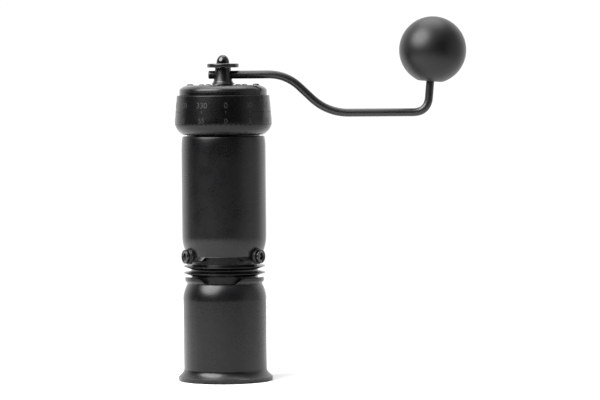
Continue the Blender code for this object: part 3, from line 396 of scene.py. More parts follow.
insideFinish = {
    "steel": [
        "spindle", "spindle_clip", "spring_collar", "burr_washer", "burr_screw", "burr_lock_ring",
        "bridge_clip", "preload_spring", "dial_snap_ring", "click_ring", "outer_race", "inner_race",
        "bearing_clip", "hub_stud", "knob_screw", "detent_ball", "detent_spring",
    ],
    "burr": ["outer_burr", "inner_burr"],
    "bronze": ["spindle_bush", "ball_cage", "knob_sleeve", "thread_lug_1", "thread_lug_2", "thread_lug_3"],
    "bridge": ["lower_bridge", "top_bridge"],
    "rubber": ["base_pad", "cup_seal_ring", "lid_seal"],
}

for look, nodes in insideFinish.items():
    for node in nodes:
        for materialSlot in frame["nodes"][node].material_slots:
            materialSlot.material = finish[look]


# The notched collars of the cup and of the body

collarLook = {
    "edge": 0.28 * mm,          # rounding along the lip
    "soft": 0.55 * mm,          # rounding where a notch starts and ends
    "floor": 0.2 * mm,          # what is left of the lip in a notch
}


def notchAngles(centres, near, far):
    # angles round the collar, closest together where a notch's sides rise
    offsets = [-60, -54, -48, -42, -36]
    offsets += [-(far + 1) + i * 0.5 for i in range(int((far + 2 - near) / 0.5))]
    offsets += [-near + i * 3 for i in range(1, int(near / 3) + 1)]
    offsets = sorted(set(offsets + [-offset for offset in offsets]) | {0})[1:]
    return sorted(centre + math.radians(offset) for centre in centres for offset in offsets)


def softStep(value, low, high, soft):
    # value held between low and high, with both corners rounded
    value = max(value, low) + max(soft - abs(value - low), 0) ** 2 / (4 * soft)
    return min(value, high) - max(soft - abs(value - high), 0) ** 2 / (4 * soft)


def lipHeight(angle, radius, centres, shape):
    # height of the lip's rim above the waist, lower in the notches
    away = min(abs((angle - centre + math.pi) % fullTurn - math.pi) for centre in centres)
    across = radius * math.sin(min(away, math.pi / 2))
    share = (across - shape["narrow"] / 2) / ((shape["wide"] - shape["narrow"]) / 2)
    rise = shape["height"] - collarLook["floor"]
    height = collarLook["floor"] + rise * share
    return softStep(height, collarLook["floor"], shape["height"], collarLook["soft"])


def lipOutline(angle, centres, shape):
    # (radius, height above the waist) from the waist, up and over the rim, to the bore
    waist, lip, slope, bore = shape["waist"], shape["lip"], shape["slope"], shape["bore"]
    top = lipHeight(angle, lip, centres, shape)
    innerTop = lipHeight(angle, bore, centres, shape)
    face = 0.35 * mm            # length of the rounding between the slope and the face

    def reach(height):
        share = height / slope
        straight = waist + (lip - waist) * min(share, 1.0)
        return straight - max(face - abs(height - slope), 0) ** 2 / (4 * face) * (lip - waist) / slope

    edge = min(collarLook["edge"], top * 0.45)
    side = [(reach((top - edge) * i / 9), (top - edge) * i / 9) for i in range(10)]
    outside = reach(top - edge)
    rim = blendCorner(Vector(side[-1]), Vector((outside, top)), Vector((outside - 2 * edge, top)), edge, 3)
    inside = Vector((bore, innerTop))
    below = Vector((bore, innerTop - 2 * edge))
    bend = blendCorner(Vector((bore + 2 * edge, innerTop)), inside, below, edge, 3)
    return [Vector(point) for point in side[:-1]] + rim + bend


# The catch cup

cupLook = {
    "wall": 2.4 * mm, "floor": 2.4 * mm, "radius": 25.0 * mm, "flareTop": 7.2 * mm, "footEdge": 2.4 * mm,
    "shoulder": 10.0 * mm, "clocking": math.radians(-2.5), "padRadius": 25.3 * mm, "mouthDepth": 8.8 * mm,
    "collar": {
        "waist": 22.35 * mm, "lip": 23.7 * mm, "slope": 1.7 * mm, "bore": 20.3 * mm, "height": 3.9 * mm,
        "narrow": 18.3 * mm, "wide": 25.2 * mm,
    },
}


def makeCup(look):
    low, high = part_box("catch_cup")
    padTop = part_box("base_pad")[1].z + gap
    collar = look["collar"]
    foot = high.x
    waist = high.z - collar["height"]
    shoulderLow = waist - look["shoulder"]
    inner = look["radius"] - look["wall"]
    flare = []
    for i in range(13):
        t = i / 12
        reach = foot + (look["radius"] - foot) * math.sin(t * math.pi / 2) ** 0.9
        flare.append((reach, look["footEdge"] + (look["flareTop"] - look["footEdge"]) * t))
    tall = shoulderLow - look["flareTop"]
    wall = [(look["radius"], look["flareTop"] + tall * i / 12) for i in range(1, 12)]
    drop = look["radius"] - collar["waist"]
    shoulder = [
        (look["radius"] - drop * (i / 14) ** 2, shoulderLow + look["shoulder"] * i / 14) for i in range(14)
    ]
    under = softProfile(
        [
            (0, padTop), (look["padRadius"], padTop), (look["padRadius"], low.z),
            (foot, low.z, 0.45 * mm), flare[0],
        ],
        0.25 * mm,
    )[:-4]
    cone = high.z - look["mouthDepth"]
    cavity = softProfile(
        [
            (collar["bore"], high.z), (collar["bore"], cone), (inner, shoulderLow),
            (inner, padTop + look["floor"], 1.5 * mm), (0, padTop + look["floor"]),
        ],
        1.0 * mm,
    )
    cavity = [point for point in cavity if point[1] <= cone + 0.6 * mm]
    centres = [angle + look["clocking"] for angle in thirds]
    rows = []
    for angle in notchAngles(centres, 20, 36):
        lip = [(point.x, waist + point.y) for point in lipOutline(angle, centres, collar)]
        outline = [*under, *flare, *wall, *shoulder, *lip, *cavity]
        rows.append([around(angle, radius, height) for radius, height in outline])
    piece = newPiece("catchCup", rowsShape(rows, ringed=False))
    return placed(smoothed(piece), "cup", finish["powder"], ["catch_cup"])


makeCup(cupLook)
print("catch cup is made")


# The burr carrier: the finned neck between cup and body

neckLook = {
    "neck": 20.0 * mm, "finEdge": 0.3 * mm, "finPitch": 4.0 * mm, "finBelow": 1.8 * mm, "finAbove": 1.2 * mm,
    "aboveCup": 0.8 * mm, "grooveAt": 3.6 * mm, "groove": 1.1 * mm, "grooveWidth": 1.6 * mm,
    "burrSeat": 16.9 * mm, "throat": 12.2 * mm, "holeFrom": 15.5 * mm, "holeTo": 27.0 * mm,
}


def makeNeck(look):
    low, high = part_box("burr_carrier")
    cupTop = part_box("catch_cup")[1].z
    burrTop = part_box("outer_burr")[1].z + gap
    neck = look["neck"]
    groove = low.z + look["grooveAt"]
    points = [
        (neck, low.z, 0.6 * mm), (neck, groove), (neck - look["groove"], groove),
        (neck - look["groove"], groove + look["grooveWidth"]), (neck, groove + look["grooveWidth"]),
    ]
    for fin in range(2):
        root = cupTop + look["aboveCup"] + fin * look["finPitch"]
        edge = root + look["finBelow"]
        points += [
            (neck, root, 0.2 * mm), (high.x, edge - look["finEdge"] / 2, 0.1 * mm),
            (high.x, edge + look["finEdge"] / 2, 0.1 * mm), (neck, edge + look["finAbove"], 0.2 * mm),
        ]
    points += [
        (neck, high.z), (neck - 1.4 * mm, high.z), (look["throat"], burrTop + 2.0 * mm),
        (look["throat"], burrTop), (look["burrSeat"], burrTop), (look["burrSeat"], low.z),
    ]
    piece = newPiece("burrCarrier", turnedShape(softProfile(points, 0.15 * mm), 180))
    height = middle("collar_bolt_3").z
    holes = [
        rodShape(boltHole, around(angle, look["holeFrom"], height), around(angle, look["holeTo"], height), 32)
        for angle in boltAngles
    ]
    carved(piece, [joined(holes)])
    return placed(smoothed(piece), "grinder", finish["powder"], ["burr_carrier"])


makeNeck(neckLook)
print("burr carrier is made")


# The body shell

bodyLook = {
    "radius": 25.25 * mm, "shoulder": 12.0 * mm, "topRound": 10.0 * mm, "topDrop": 0.65 * mm,
    "bore": 22.3 * mm, "spigot": 21.9 * mm, "spigotBore": 19.5 * mm, "spigotHeight": 23.0 * mm,
    "insert": 8.5 * mm, "pocket": 4.85 * mm, "pocketTo": 29.0 * mm, "holeFrom": 17.0 * mm,
    "lugSlot": 5.6 * mm, "lugPlay": 1.0 * mm,
    "collar": {
        "waist": 22.35 * mm, "lip": 23.7 * mm, "slope": 2.2 * mm, "bore": 20.3 * mm, "height": 3.4 * mm,
        "narrow": 21.2 * mm, "wide": 27.4 * mm,
    },
}


def makeBody(look):
    low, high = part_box("body_shell")
    collar = look["collar"]
    waist = low.z + collar["height"]
    top = high.z - look["spigotHeight"]
    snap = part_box("dial_snap_ring")[0].z
    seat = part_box("lower_bridge")[0].z
    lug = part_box("thread_lug_1")
    drop = look["radius"] - collar["waist"]
    shoulder = []
    for i in range(1, 19):
        t = i / 18
        shoulder.append((collar["waist"] + drop * (1 - (1 - t) ** 2), waist + look["shoulder"] * t))
    roundLow = top - look["topRound"]
    shoulderHigh = waist + look["shoulder"]
    wall = [(look["radius"], shoulderHigh + (roundLow - shoulderHigh) * i / 16) for i in range(1, 16)]
    crown = [
        (look["radius"] - look["topDrop"] * (i / 8) ** 3, roundLow + look["topRound"] * i / 8)
        for i in range(8)
    ]
    groove = look["spigot"] - 1.0 * mm
    upper = softProfile(
        [
            crown[-1], (look["radius"] - look["topDrop"], top, 0.5 * mm), (look["spigot"], top),
            (look["spigot"], snap - 0.2 * mm), (groove, snap - 0.2 * mm), (groove, snap + 1.4 * mm),
            (look["spigot"], snap + 1.4 * mm), (look["spigot"], high.z), (look["spigotBore"], high.z),
            (look["spigotBore"], top), (look["bore"], top - 3.5 * mm), (look["bore"], seat - 0.3 * mm),
            (collar["bore"], low.z + look["insert"]), (collar["bore"], low.z + collar["height"]),
        ],
        0.2 * mm,
    )[4:]
    upper = [tuple(point) for point in upper if point.y > waist + 0.5 * mm or point.x > collar["bore"] + mm]
    rows = []
    for angle in notchAngles(thirds, 22, 40):
        lip = [(point.x, waist - point.y) for point in reversed(lipOutline(angle, thirds, collar))]
        outline = lip + shoulder + wall + crown + upper
        rows.append([around(angle, radius, height) for radius, height in outline])
    piece = newPiece("bodyShell", rowsShape(rows))
    height = middle("collar_bolt_3").z
    pockets = []
    holes = []
    for angle in boltAngles:
        start, end = around(angle, collar["waist"], height), around(angle, look["pocketTo"], height)
        pockets.append(rodShape(look["pocket"], start, end, 64))
        holes.append(rodShape(boltHole, around(angle, look["holeFrom"], height), end, 32))
    slotLow, slotHigh = lug[0].z - look["lugPlay"], lug[1].z + look["lugPlay"]
    slots = [blockShape(angle, 18 * mm, 23 * mm, look["lugSlot"], slotLow, slotHigh) for angle in thirds]
    carved(piece, [joined(pockets), joined(holes), joined(slots)])
    return placed(smoothed(piece), "grinder", finish["powder"], ["body_shell"])


makeBody(bodyLook)
print("body shell is made")


# Copies of one shape set round the axis: bolts, ferrules, screws, pips, dots and ticks

def makeRoundCopies():
    tree = bpy.data.node_groups.new("roundCopies", "GeometryNodeTree")
    tree.interface.new_socket("Geometry", in_out="OUTPUT", socket_type="NodeSocketGeometry")
    for name, kind in (
        ("Shape", "NodeSocketObject"), ("Finish", "NodeSocketMaterial"), ("Count", "NodeSocketInt"),
        ("Radius", "NodeSocketFloat"), ("Height", "NodeSocketFloat"), ("Start", "NodeSocketFloat"),
        ("Lean", "NodeSocketFloat"), ("Every", "NodeSocketInt"), ("Skipped", "NodeSocketInt"),
    ):
        tree.interface.new_socket(name, in_out="INPUT", socket_type=kind)
    nodes, links = tree.nodes, tree.links
    given = nodes.new("NodeGroupInput").outputs

    def wired(kind, **sources):
        node = nodes.new(kind)
        for name, source in sources.items():
            links.new(source, node.inputs[name])
        return node

    ring = wired("GeometryNodeMeshCircle", Vertices=given["Count"], Radius=given["Radius"])
    index = nodes.new("GeometryNodeInputIndex").outputs[0]
    kept = nodes.new("FunctionNodeCompare")
    kept.data_type = "FLOAT"
    kept.operation = "NOT_EQUAL"
    kept.inputs["Epsilon"].default_value = 0.1
    links.new(worked(tree, "MODULO", index, given["Every"]), kept.inputs[0])
    links.new(given["Skipped"], kept.inputs[1])

    share = worked(tree, "DIVIDE", fullTurn, given["Count"])
    angle = worked(tree, "MULTIPLY", index, share)
    turn = wired("ShaderNodeCombineXYZ", Y=given["Lean"], Z=angle)
    shape = wired("GeometryNodeObjectInfo", Object=given["Shape"])
    copies = wired(
        "GeometryNodeInstanceOnPoints", Points=ring.outputs["Mesh"], Selection=kept.outputs[0],
        Instance=shape.outputs["Geometry"], Rotation=turn.outputs[0],
    )
    lift = wired("ShaderNodeCombineXYZ", Z=given["Height"])
    start = wired("ShaderNodeCombineXYZ", Z=given["Start"])
    move = wired(
        "GeometryNodeTransform", Geometry=copies.outputs["Instances"],
        Translation=lift.outputs[0], Rotation=start.outputs[0],
    )
    real = wired("GeometryNodeRealizeInstances", Geometry=move.outputs["Geometry"])
    painted = wired("GeometryNodeSetMaterial", Geometry=real.outputs["Geometry"], Material=given["Finish"])
    wired("NodeGroupOutput", Geometry=painted.outputs["Geometry"])
    return tree


roundCopies = makeRoundCopies()


def copiesRound(name, shape, look, finishName):
    # the shape's own Z points up the axis, or outwards where it leans by a quarter turn
    pattern = smoothed(newPiece(name + "Pattern", shape))
    piece = bpy.data.objects.new(name, bpy.data.meshes.new(name))
    bpy.context.collection.objects.link(piece)
    modifier = piece.modifiers.new("copies", "NODES")
    modifier.node_group = roundCopies
    values = {
        "Shape": pattern, "Finish": finish[finishName], "Every": 1, "Skipped": -1,
        "Lean": 0.0, "Start": 0.0, **look,
    }
    for item in roundCopies.interface.items_tree:
        if item.in_out == "INPUT":
            modifier[item.identifier] = values[item.name]
    baked(piece)
    bpy.data.objects.remove(pattern)
    return piece


# Collar bolts on their ferrules

boltLook = {
    "head": 4.15 * mm, "headHeight": 1.7 * mm, "shank": 2.4 * mm,
    "socket": 2.35 * mm, "socketDepth": 1.4 * mm, "dish": 0.45 * mm,
    "ferrule": 4.65 * mm, "ferruleHeight": 2.2 * mm, "ferruleSeat": 22.65 * mm,
}


def makeBolts(look):
    low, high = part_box("collar_bolt_3")
    top = look["headHeight"]
    head = high.y - top
    length = head - low.y
    points = [
        (0, -length), (look["shank"], -length), (look["shank"], 0), (look["head"], 0),
        (look["head"], top, 0.55 * mm), (look["socket"] + 0.75 * mm, top, 0.15 * mm),
        (look["socket"] + 0.1 * mm, top - look["dish"], 0.1 * mm), (0, top - look["dish"]),
    ]
    pattern = newPiece("boltPattern", turnedShape(softProfile(points, 0.15 * mm), 72))
    socket = rodShape(look["socket"], (0, 0, top - look["socketDepth"]), (0, 0, top + mm), 6)
    shape = takenBack(carved(pattern, [socket]))
    quarter = math.radians(90)
    place = {"Count": 3, "Height": middle("collar_bolt_3").z, "Start": quarter, "Lean": quarter}
    bolts = copiesRound("collarBolts", shape, {**place, "Radius": head}, "blackScrew")
    nodes = [f"collar_bolt_{i}" for i in (1, 2, 3)]
    placed(bolts, "grinder", finish["blackScrew"], nodes)

    outer, tall = look["ferrule"], look["ferruleHeight"]
    bore = look["shank"] + gap
    groove = outer - 0.18 * mm
    points = [
        (bore, 0), (outer, 0), (outer, tall * 0.45), (groove, tall * 0.5), (groove, tall * 0.58),
        (outer, tall * 0.63), (outer, tall, 0.35 * mm), (bore, tall),
    ]
    shape = turnedShape(softProfile(points, 0.1 * mm), 72)
    ferrules = copiesRound("boltFerrules", shape, {**place, "Radius": look["ferruleSeat"]}, "ferrule")
    nodes = [f"bolt_ferrule_{i}" for i in (1, 2, 3)]
    placed(ferrules, "grinder", finish["ferrule"], nodes)


makeBolts(boltLook)
print("collar bolts are made")


# The adjusting dial

dialLook = {
    "widest": 29.07 * mm, "top": 27.75 * mm, "bottom": 24.2 * mm, "round": 8.0 * mm, "bore": 22.25 * mm,
    "counterbore": 24.3 * mm, "height": 23.6 * mm, "groove": 24.5 * mm, "lugPlay": 1.05 * mm,
    "ledge": 1.8 * mm, "ballPocket": 0.8 * mm,
}


def makeDial(look):
    low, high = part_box("adjusting_dial")
    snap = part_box("dial_snap_ring")[0].z
    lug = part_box("thread_lug_1")
    ledge = snap - look["ledge"]
    grooveLow, grooveHigh = lug[0].z - look["lugPlay"], lug[1].z + look["lugPlay"]
    depth = look["widest"] - look["bottom"]
    skirt = []
    for i in range(1, 21):
        t = i / 20
        skirt.append((look["widest"] - depth * (1 - t) ** 2.5, low.z + look["round"] * t))
    points = [
        (look["bore"], low.z), (look["bottom"], low.z, 0.3 * mm), *skirt,
        (look["widest"] - 0.1 * mm, low.z + look["round"] + 2 * mm), (look["top"], high.z, 0.45 * mm),
        (look["counterbore"], high.z, 0.25 * mm), (look["counterbore"], ledge), (look["bore"], ledge),
        (look["bore"], grooveHigh), (look["groove"], grooveHigh), (look["groove"], grooveLow),
        (look["bore"], grooveLow),
    ]
    piece = newPiece("adjustingDial", turnedShape(softProfile(points, 0.2 * mm), 216))
    spot = middle("detent_ball").xy
    carved(piece, [rodShape(look["ballPocket"], (*spot, ledge - 2.0 * mm), (*spot, ledge + mm), 24)])
    return placed(smoothed(piece), "dial", finish["dial"], ["adjusting_dial"])


makeDial(dialLook)

marksLook = {
    "rowHeights": (13.8 * mm, 6.3 * mm),    # dot rows, above the dial's bottom
    "count": 60,
    "tickEvery": 5,
    "start": math.radians(-83),
    "dot": 0.33 * mm,
    "tick": (0.42 * mm, 1.5 * mm),          # across and up
    "upperText": 16.1 * mm,
    "lowerText": 7.1 * mm,
    "upperSize": 4.9 * mm,
    "lowerSize": 4.3 * mm,
    "proud": 0.03 * mm,
}


def dialSurface(height):
    # the dial's outside radius and lean at a height above its bottom
    tall = dialLook["height"]
    low = dialLook["round"] + 2 * mm
    wide = dialLook["widest"] - 0.1 * mm
    lean = (wide - dialLook["top"]) / (tall - low)
    if height >= low:
        return wide - (height - low) * lean, math.atan(lean)
    if height >= dialLook["round"]:
        return dialLook["widest"] - 0.05 * mm * (height - dialLook["round"]) / mm, 0.05
    depth = dialLook["widest"] - dialLook["bottom"]
    short = 1 - height / dialLook["round"]
    return dialLook["widest"] - depth * short**2.5, -math.atan(2.5 * depth / dialLook["round"] * short**1.5)


def makeDialMarks(look):
    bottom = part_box("adjusting_dial")[0].z
    thick = 0.1 * mm
    for number, height in enumerate(look["rowHeights"], 1):
        radius, lean = dialSurface(height)
        dot = turnedShape([(0, 0), (look["dot"], 0), (look["dot"], thick), (0, thick)], 20)
        place = {
            "Count": look["count"], "Radius": radius + look["proud"] - thick, "Height": bottom + height,
            "Start": look["start"], "Lean": math.radians(90) - lean,
        }
        every = {"Every": look["tickEvery"], "Skipped": 0} if number == 1 else {}
        # the dots take the dark mark finish: painted shade for engraved dimples, the dots themselves built
        # flat
        dots = copiesRound(f"dialDots{number}", dot, {**place, **every}, "dimple")
        placed(dots, "dial", finish["dimple"])
    radius, lean = dialSurface(look["rowHeights"][0])
    tick = blockShape(0, -look["tick"][1] / 2, look["tick"][1] / 2, look["tick"][0], 0, thick)
    place = {
        "Count": look["count"] // look["tickEvery"], "Radius": radius + look["proud"] - thick,
        "Height": bottom + look["rowHeights"][0], "Start": look["start"], "Lean": math.radians(90) - lean,
    }
    ticks = copiesRound("dialTicks", tick, place, "print")
    placed(ticks, "dial", finish["print"])


def numberMesh(text, size):
    # one number as a thin plate, centred, standing up from the XY plane
    line = bpy.data.curves.new("number", "FONT")
    line.body = text
    line.size = size
    line.align_x = "CENTER"
    line.extrude = 0.05 * mm
    writing = bpy.data.objects.new("number", line)
    bpy.context.collection.objects.link(writing)
    graph = bpy.context.evaluated_depsgraph_get()
    mesh = bpy.data.meshes.new_from_object(writing.evaluated_get(graph))
    bpy.data.objects.remove(writing)
    shape = bmesh.new()
    shape.from_mesh(mesh)
    bpy.data.meshes.remove(mesh)
    longest = 0.5 * mm          # edges short enough to follow the dial round
    edges = [edge for edge in shape.edges if edge.calc_length() > longest]
    bmesh.ops.subdivide_edges(shape, edges=edges, cuts=2)
    return shape


def makeDialNumbers(look):
    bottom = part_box("adjusting_dial")[0].z
    parts = []
    count = look["count"] // look["tickEvery"]
    rows = ((look["upperText"], look["upperSize"], 30), (look["lowerText"], look["lowerSize"], 5))
    for base, size, step in rows:
        for i in range(count):
            shape = numberMesh(f"{i * step}", size)
            middle = look["start"] + fullTurn * i / count
            for vertex in shape.verts:
                height = base + vertex.co.y
                radius, _ = dialSurface(height)
                angle = middle + vertex.co.x / radius
                vertex.co = around(angle, radius - 0.05 * mm + look["proud"] + vertex.co.z, bottom + height)
            parts.append(shape)
    piece = newPiece("dialNumbers", joined(parts))
    return placed(piece, "dial", finish["print"])


makeDialMarks(marksLook)
makeDialNumbers(marksLook)
print("dial is made")


# Marks on the body under the dial: an index line between fine and coarse dots

bodyMarksLook = {
    "line": (0.5 * mm, 6.4 * mm), "lineHeight": 7.7 * mm, "lineAngle": math.radians(-92.0),
    "middle": 8.0 * mm,
    "fine": {
        "columns": 4, "dot": 0.28 * mm, "across": 1.15 * mm, "down": 1.15 * mm, "angle": math.radians(-101.5),
    },
    "coarse": {
        "columns": 3, "dot": 0.5 * mm, "across": 1.6 * mm, "down": 1.7 * mm, "angle": math.radians(-83.5),
    },
}


def bodySurface(depth):
    # the body's outside radius at a depth below its top face
    share = max(0.0, 1 - depth / bodyLook["topRound"])
    return bodyLook["radius"] - bodyLook["topDrop"] * share**3


def makeBodyMarks(look):
    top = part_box("body_shell")[1].z - bodyLook["spigotHeight"]
    parts = []

    def discAt(angle, depth, radius):
        disc = turnedShape([(0, 0), (radius, 0), (radius, 0.1 * mm), (0, 0.1 * mm)], 20)
        reach = bodySurface(depth) - 0.07 * mm
        spot = Matrix.Translation(around(angle, reach, top - depth))
        disc.transform(spot @ Matrix.Rotation(angle, 4, "Z") @ Matrix.Rotation(math.radians(90), 4, "Y"))
        parts.append(disc)

    for size in ("fine", "coarse"):     # each a triangle of dots, its widest column on the left
        dots = look[size]
        for column in range(dots["columns"]):
            angle = dots["angle"] + (column - 1) * dots["across"] / bodyLook["radius"]
            for row in range(dots["columns"] - column):
                depth = look["middle"] + (row - (dots["columns"] - 1 - column) / 2) * dots["down"]
                discAt(angle, depth, dots["dot"])
    steps = 12
    width, tall = look["line"]
    line = bmesh.new()
    columns = []
    for i in range(steps + 1):
        depth = look["lineHeight"] + tall * (i / steps - 0.5)
        reach = bodySurface(depth)
        columns.append([
            line.verts.new(around(look["lineAngle"] + side * width / 2 / reach, reach + out, top - depth))
            for side, out in ((-1, -0.07 * mm), (1, -0.07 * mm), (1, 0.03 * mm), (-1, 0.03 * mm))
        ])
    for column, following in zip(columns, columns[1:]):
        for j in range(4):
            k = (j + 1) % 4
            line.faces.new((column[j], column[k], following[k], following[j]))
    line.faces.new(columns[0])
    line.faces.new(columns[-1])
    bmesh.ops.recalc_face_normals(line, faces=line.faces)
    parts.append(line)
    piece = newPiece("bodyMarks", joined(parts))
    # the line and dots take the dark mark finish: painted shade for engraved marks built flat
    return placed(piece, "grinder", finish["dimple"])


makeBodyMarks(bodyMarksLook)
print("body marks are made")


# The lid, its screws and its grip pips

lidLook = {
    "face": 2.8 * mm, "top": 21.5 * mm, "hole": 7.2 * mm, "sunk": 0.6 * mm, "clocking": math.radians(-6),
    "screwCircle": 20.0 * mm, "screw": 2.1 * mm, "pipCircle": 15.6 * mm, "pip": 1.9 * mm,
    "skirt": 22.5 * mm, "skirtWall": 0.7 * mm, "skirtDepth": 2.4 * mm, "height": 5.8 * mm,
    "groove": 0.12 * mm, "grooveAt": 2.0 * mm,
}


def makeLid(look):
    low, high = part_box("hopper_lid")
    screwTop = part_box("lid_screw_1")[1].z
    bottom = low.z + look["skirtDepth"]
    top = bottom + look["height"]
    under = bottom + 1.2 * mm
    wide = high.x
    skirt = look["skirt"] + look["skirtWall"]
    groove, grooveLow = wide - look["groove"], bottom + look["grooveAt"]
    points = [
        (look["hole"], under), (look["skirt"] - mm, under), (look["skirt"], bottom), (look["skirt"], low.z),
        (skirt, low.z), (skirt, bottom - 0.2 * mm), (wide, bottom - 0.2 * mm, 0.1 * mm),
        (wide, grooveLow - 0.1 * mm, 0.1 * mm), (groove, grooveLow, 0.05 * mm),
        (groove, grooveLow + 0.2 * mm, 0.05 * mm), (wide, grooveLow + 0.3 * mm, 0.1 * mm),
        (wide, bottom + look["face"], 0.3 * mm), (wide - 0.6 * mm, top - 2.0 * mm, 0.5 * mm),
        (wide - 2.4 * mm, top - 0.8 * mm, 0.9 * mm), (look["top"], top, 1.2 * mm),
        (look["hole"] + 2.2 * mm, top, 0.3 * mm), (look["hole"] + 1.6 * mm, top - look["sunk"], 0.3 * mm),
        (look["hole"], top - look["sunk"]),
    ]
    piece = newPiece("hopperLid", turnedShape(softProfile(points, 0.2 * mm), 216))
    wells = []
    for i in range(4):
        spot = around(fullTurn * i / 4 + look["clocking"], look["screwCircle"]).xy
        wells.append(rodShape(look["screw"] + 0.2 * mm, (*spot, top - 0.7 * mm), (*spot, top + mm), 48))
    carved(piece, [joined(wells)])
    placed(smoothed(piece), "lid", finish["lid"], ["hopper_lid"])

    place = {"Count": 4, "Height": top, "Start": look["clocking"]}
    dome = screwTop - top
    size = look["screw"]
    points = [
        (0, -2.6 * mm), (1.0 * mm, -2.6 * mm), (1.0 * mm, -0.6 * mm), (size, -0.6 * mm),
        (size, 0.05 * mm, 0.15 * mm), (size * 0.86, dome * 0.55, 0.4 * mm),
        (size * 0.62, dome * 0.9, 0.4 * mm), (size * 0.50, dome, 0.1 * mm),
        (size * 0.46, dome * 0.75), (0, dome * 0.75),
    ]
    pattern = newPiece("screwPattern", turnedShape(softProfile(points, 0.12 * mm), 48))
    shape = takenBack(carved(pattern, [rodShape(size * 0.44, (0, 0, -0.35 * mm), (0, 0, mm), 6)]))
    screws = copiesRound("lidScrews", shape, {**place, "Radius": look["screwCircle"]}, "blackScrew")
    nodes = [f"lid_screw_{i}" for i in (1, 2, 3, 4)]
    placed(screws, "lid", finish["blackScrew"], nodes)

    pip = look["pip"]
    points = [(0, -0.3 * mm), (pip, -0.3 * mm), (pip, 0.1 * mm, 0.2 * mm), (pip * 0.6, 0.6 * mm, 0.5 * mm),
              (0, 0.7 * mm)]
    place["Start"] += math.radians(45)
    pips = copiesRound("gripPips", turnedShape(softProfile(points, 0.2 * mm), 40),
                       {**place, "Radius": look["pipCircle"]}, "lid")
    placed(pips, "lid", finish["lid"])


makeLid(lidLook)
print("lid is made")


# The crank: hub, rod, flange and nut

crankLook = {
    "rod": 2.43 * mm, "stub": 8.7 * mm, "bendStart": 38.0 * mm, "bendEnd": 62.5 * mm,
    "bends": (11.0 * mm, 13.0 * mm, 9.0 * mm),      # how far each bend reaches along the rod
    "hub": 4.8 * mm, "hubFoot": 5.8 * mm, "hubAboveRod": 4.0 * mm, "sleeve": 5.95 * mm, "socket": 4.05 * mm,
    "studHole": 1.6 * mm, "screwHole": 1.4 * mm, "intoKnob": 5.5 * mm, "flangeEdge": 0.75 * mm,
    "knobLean": math.radians(4.8),
}
knobJoint = next(joint for joint in frame["joints"] if joint["name"] == "knob_spin")
crankLook["knobCentre"] = Vector(knobJoint["pos_m"])
crankLook["lowRun"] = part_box("crank_arm")[0].z + crankLook["rod"]
crankLook["rodHeight"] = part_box("crank_hub")[1].z - crankLook["hubAboveRod"]


def makeRod(look):
    lean = Vector((math.sin(look["knobLean"]), 0, math.cos(look["knobLean"])))
    knob = look["knobCentre"]
    end = knob + lean * look["intoKnob"]
    corner = knob - lean * ((knob.z - look["lowRun"]) / lean.z)
    start = Vector((-look["stub"], 0, look["rodHeight"]))
    upper = Vector((look["bendStart"], 0, look["rodHeight"]))
    lower = Vector((look["bendEnd"], 0, look["lowRun"]))
    # (place, share of the full radius): the rod's cut end is rounded over
    rounding = ((0.0, 0.80), (0.12, 0.90), (0.35, 0.97), (0.7, 1.0))
    route = [(start + Vector((along * mm, 0, 0)), share) for along, share in rounding]
    turns = ((start, upper, lower), (upper, lower, corner), (lower, corner, end))
    for (before, turn, after), size in zip(turns, look["bends"]):
        into = (before - turn).normalized() * size
        out = (after - turn).normalized() * size
        route += [(turn + into * (1 - i / 24) ** 2 + out * (i / 24) ** 2, 1.0) for i in range(25)]
    route += [(end - lean * 0.4 * mm, 1.0), (end, 0.86)]
    line = bpy.data.curves.new("rodLine", "CURVE")
    line.dimensions = "3D"
    line.bevel_depth = look["rod"]
    line.bevel_resolution = 10
    line.use_fill_caps = True
    spline = line.splines.new("POLY")
    spline.points.add(len(route) - 1)
    for point, (spot, size) in zip(spline.points, route):
        point.co = (*spot, 1)
        point.radius = size
    guide = bpy.data.objects.new("rodLine", line)
    bpy.context.collection.objects.link(guide)
    graph = bpy.context.evaluated_depsgraph_get()
    mesh = bpy.data.meshes.new_from_object(guide.evaluated_get(graph))
    bpy.data.objects.remove(guide)
    shape = bmesh.new()
    shape.from_mesh(mesh)
    bpy.data.meshes.remove(mesh)
    bmesh.ops.remove_doubles(shape, verts=shape.verts, dist=1e-6)
    bmesh.ops.recalc_face_normals(shape, faces=shape.faces)
    piece = newPiece("crankArm", shape)
    height = look["rodHeight"]
    studHole = rodShape(look["studHole"], (0, 0, height - 4 * mm), (0, 0, height + 4 * mm), 32)
    screwHole = rodShape(look["screwHole"], knob - lean * 1.5 * mm, end + lean * mm, 32)
    carved(piece, [joined([studHole, screwHole])])
    placed(smoothed(piece), "crank", finish["crank"], ["crank_arm"])


def makeHub(look):
    low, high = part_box("crank_hub")
    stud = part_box("hub_stud")
    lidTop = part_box("hopper_lid")[0].z + lidLook["skirtDepth"] + lidLook["height"] + gap
    height = look["rodHeight"]
    top = high.z + 0.25 * mm
    points = [
        (0, low.z), (look["sleeve"], low.z), (look["sleeve"], lidTop), (high.x, lidTop, 0.15 * mm),
        (high.x, lidTop + 0.5 * mm, 0.25 * mm), (look["hubFoot"], lidTop + 1.6 * mm, 0.8 * mm),
        (look["hub"] + 0.2 * mm, height, 0.5 * mm), (look["hub"], top, 0.1 * mm), (0, top),
    ]
    piece = newPiece("crankHub", turnedShape(softProfile(points, 0.15 * mm), 96))
    carved(piece, [
        rodShape(look["socket"], (0, 0, low.z - mm), (0, 0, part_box("spindle")[1].z + gap), 6),
        rodShape(look["rod"] + 0.1 * mm, (-12 * mm, 0, height), (12 * mm, 0, height), 48),
        rodShape(look["studHole"], (0, 0, stud[0].z - gap), (0, 0, high.z + mm), 32),
    ])
    placed(smoothed(piece), "crank", finish["crank"], ["crank_hub"])


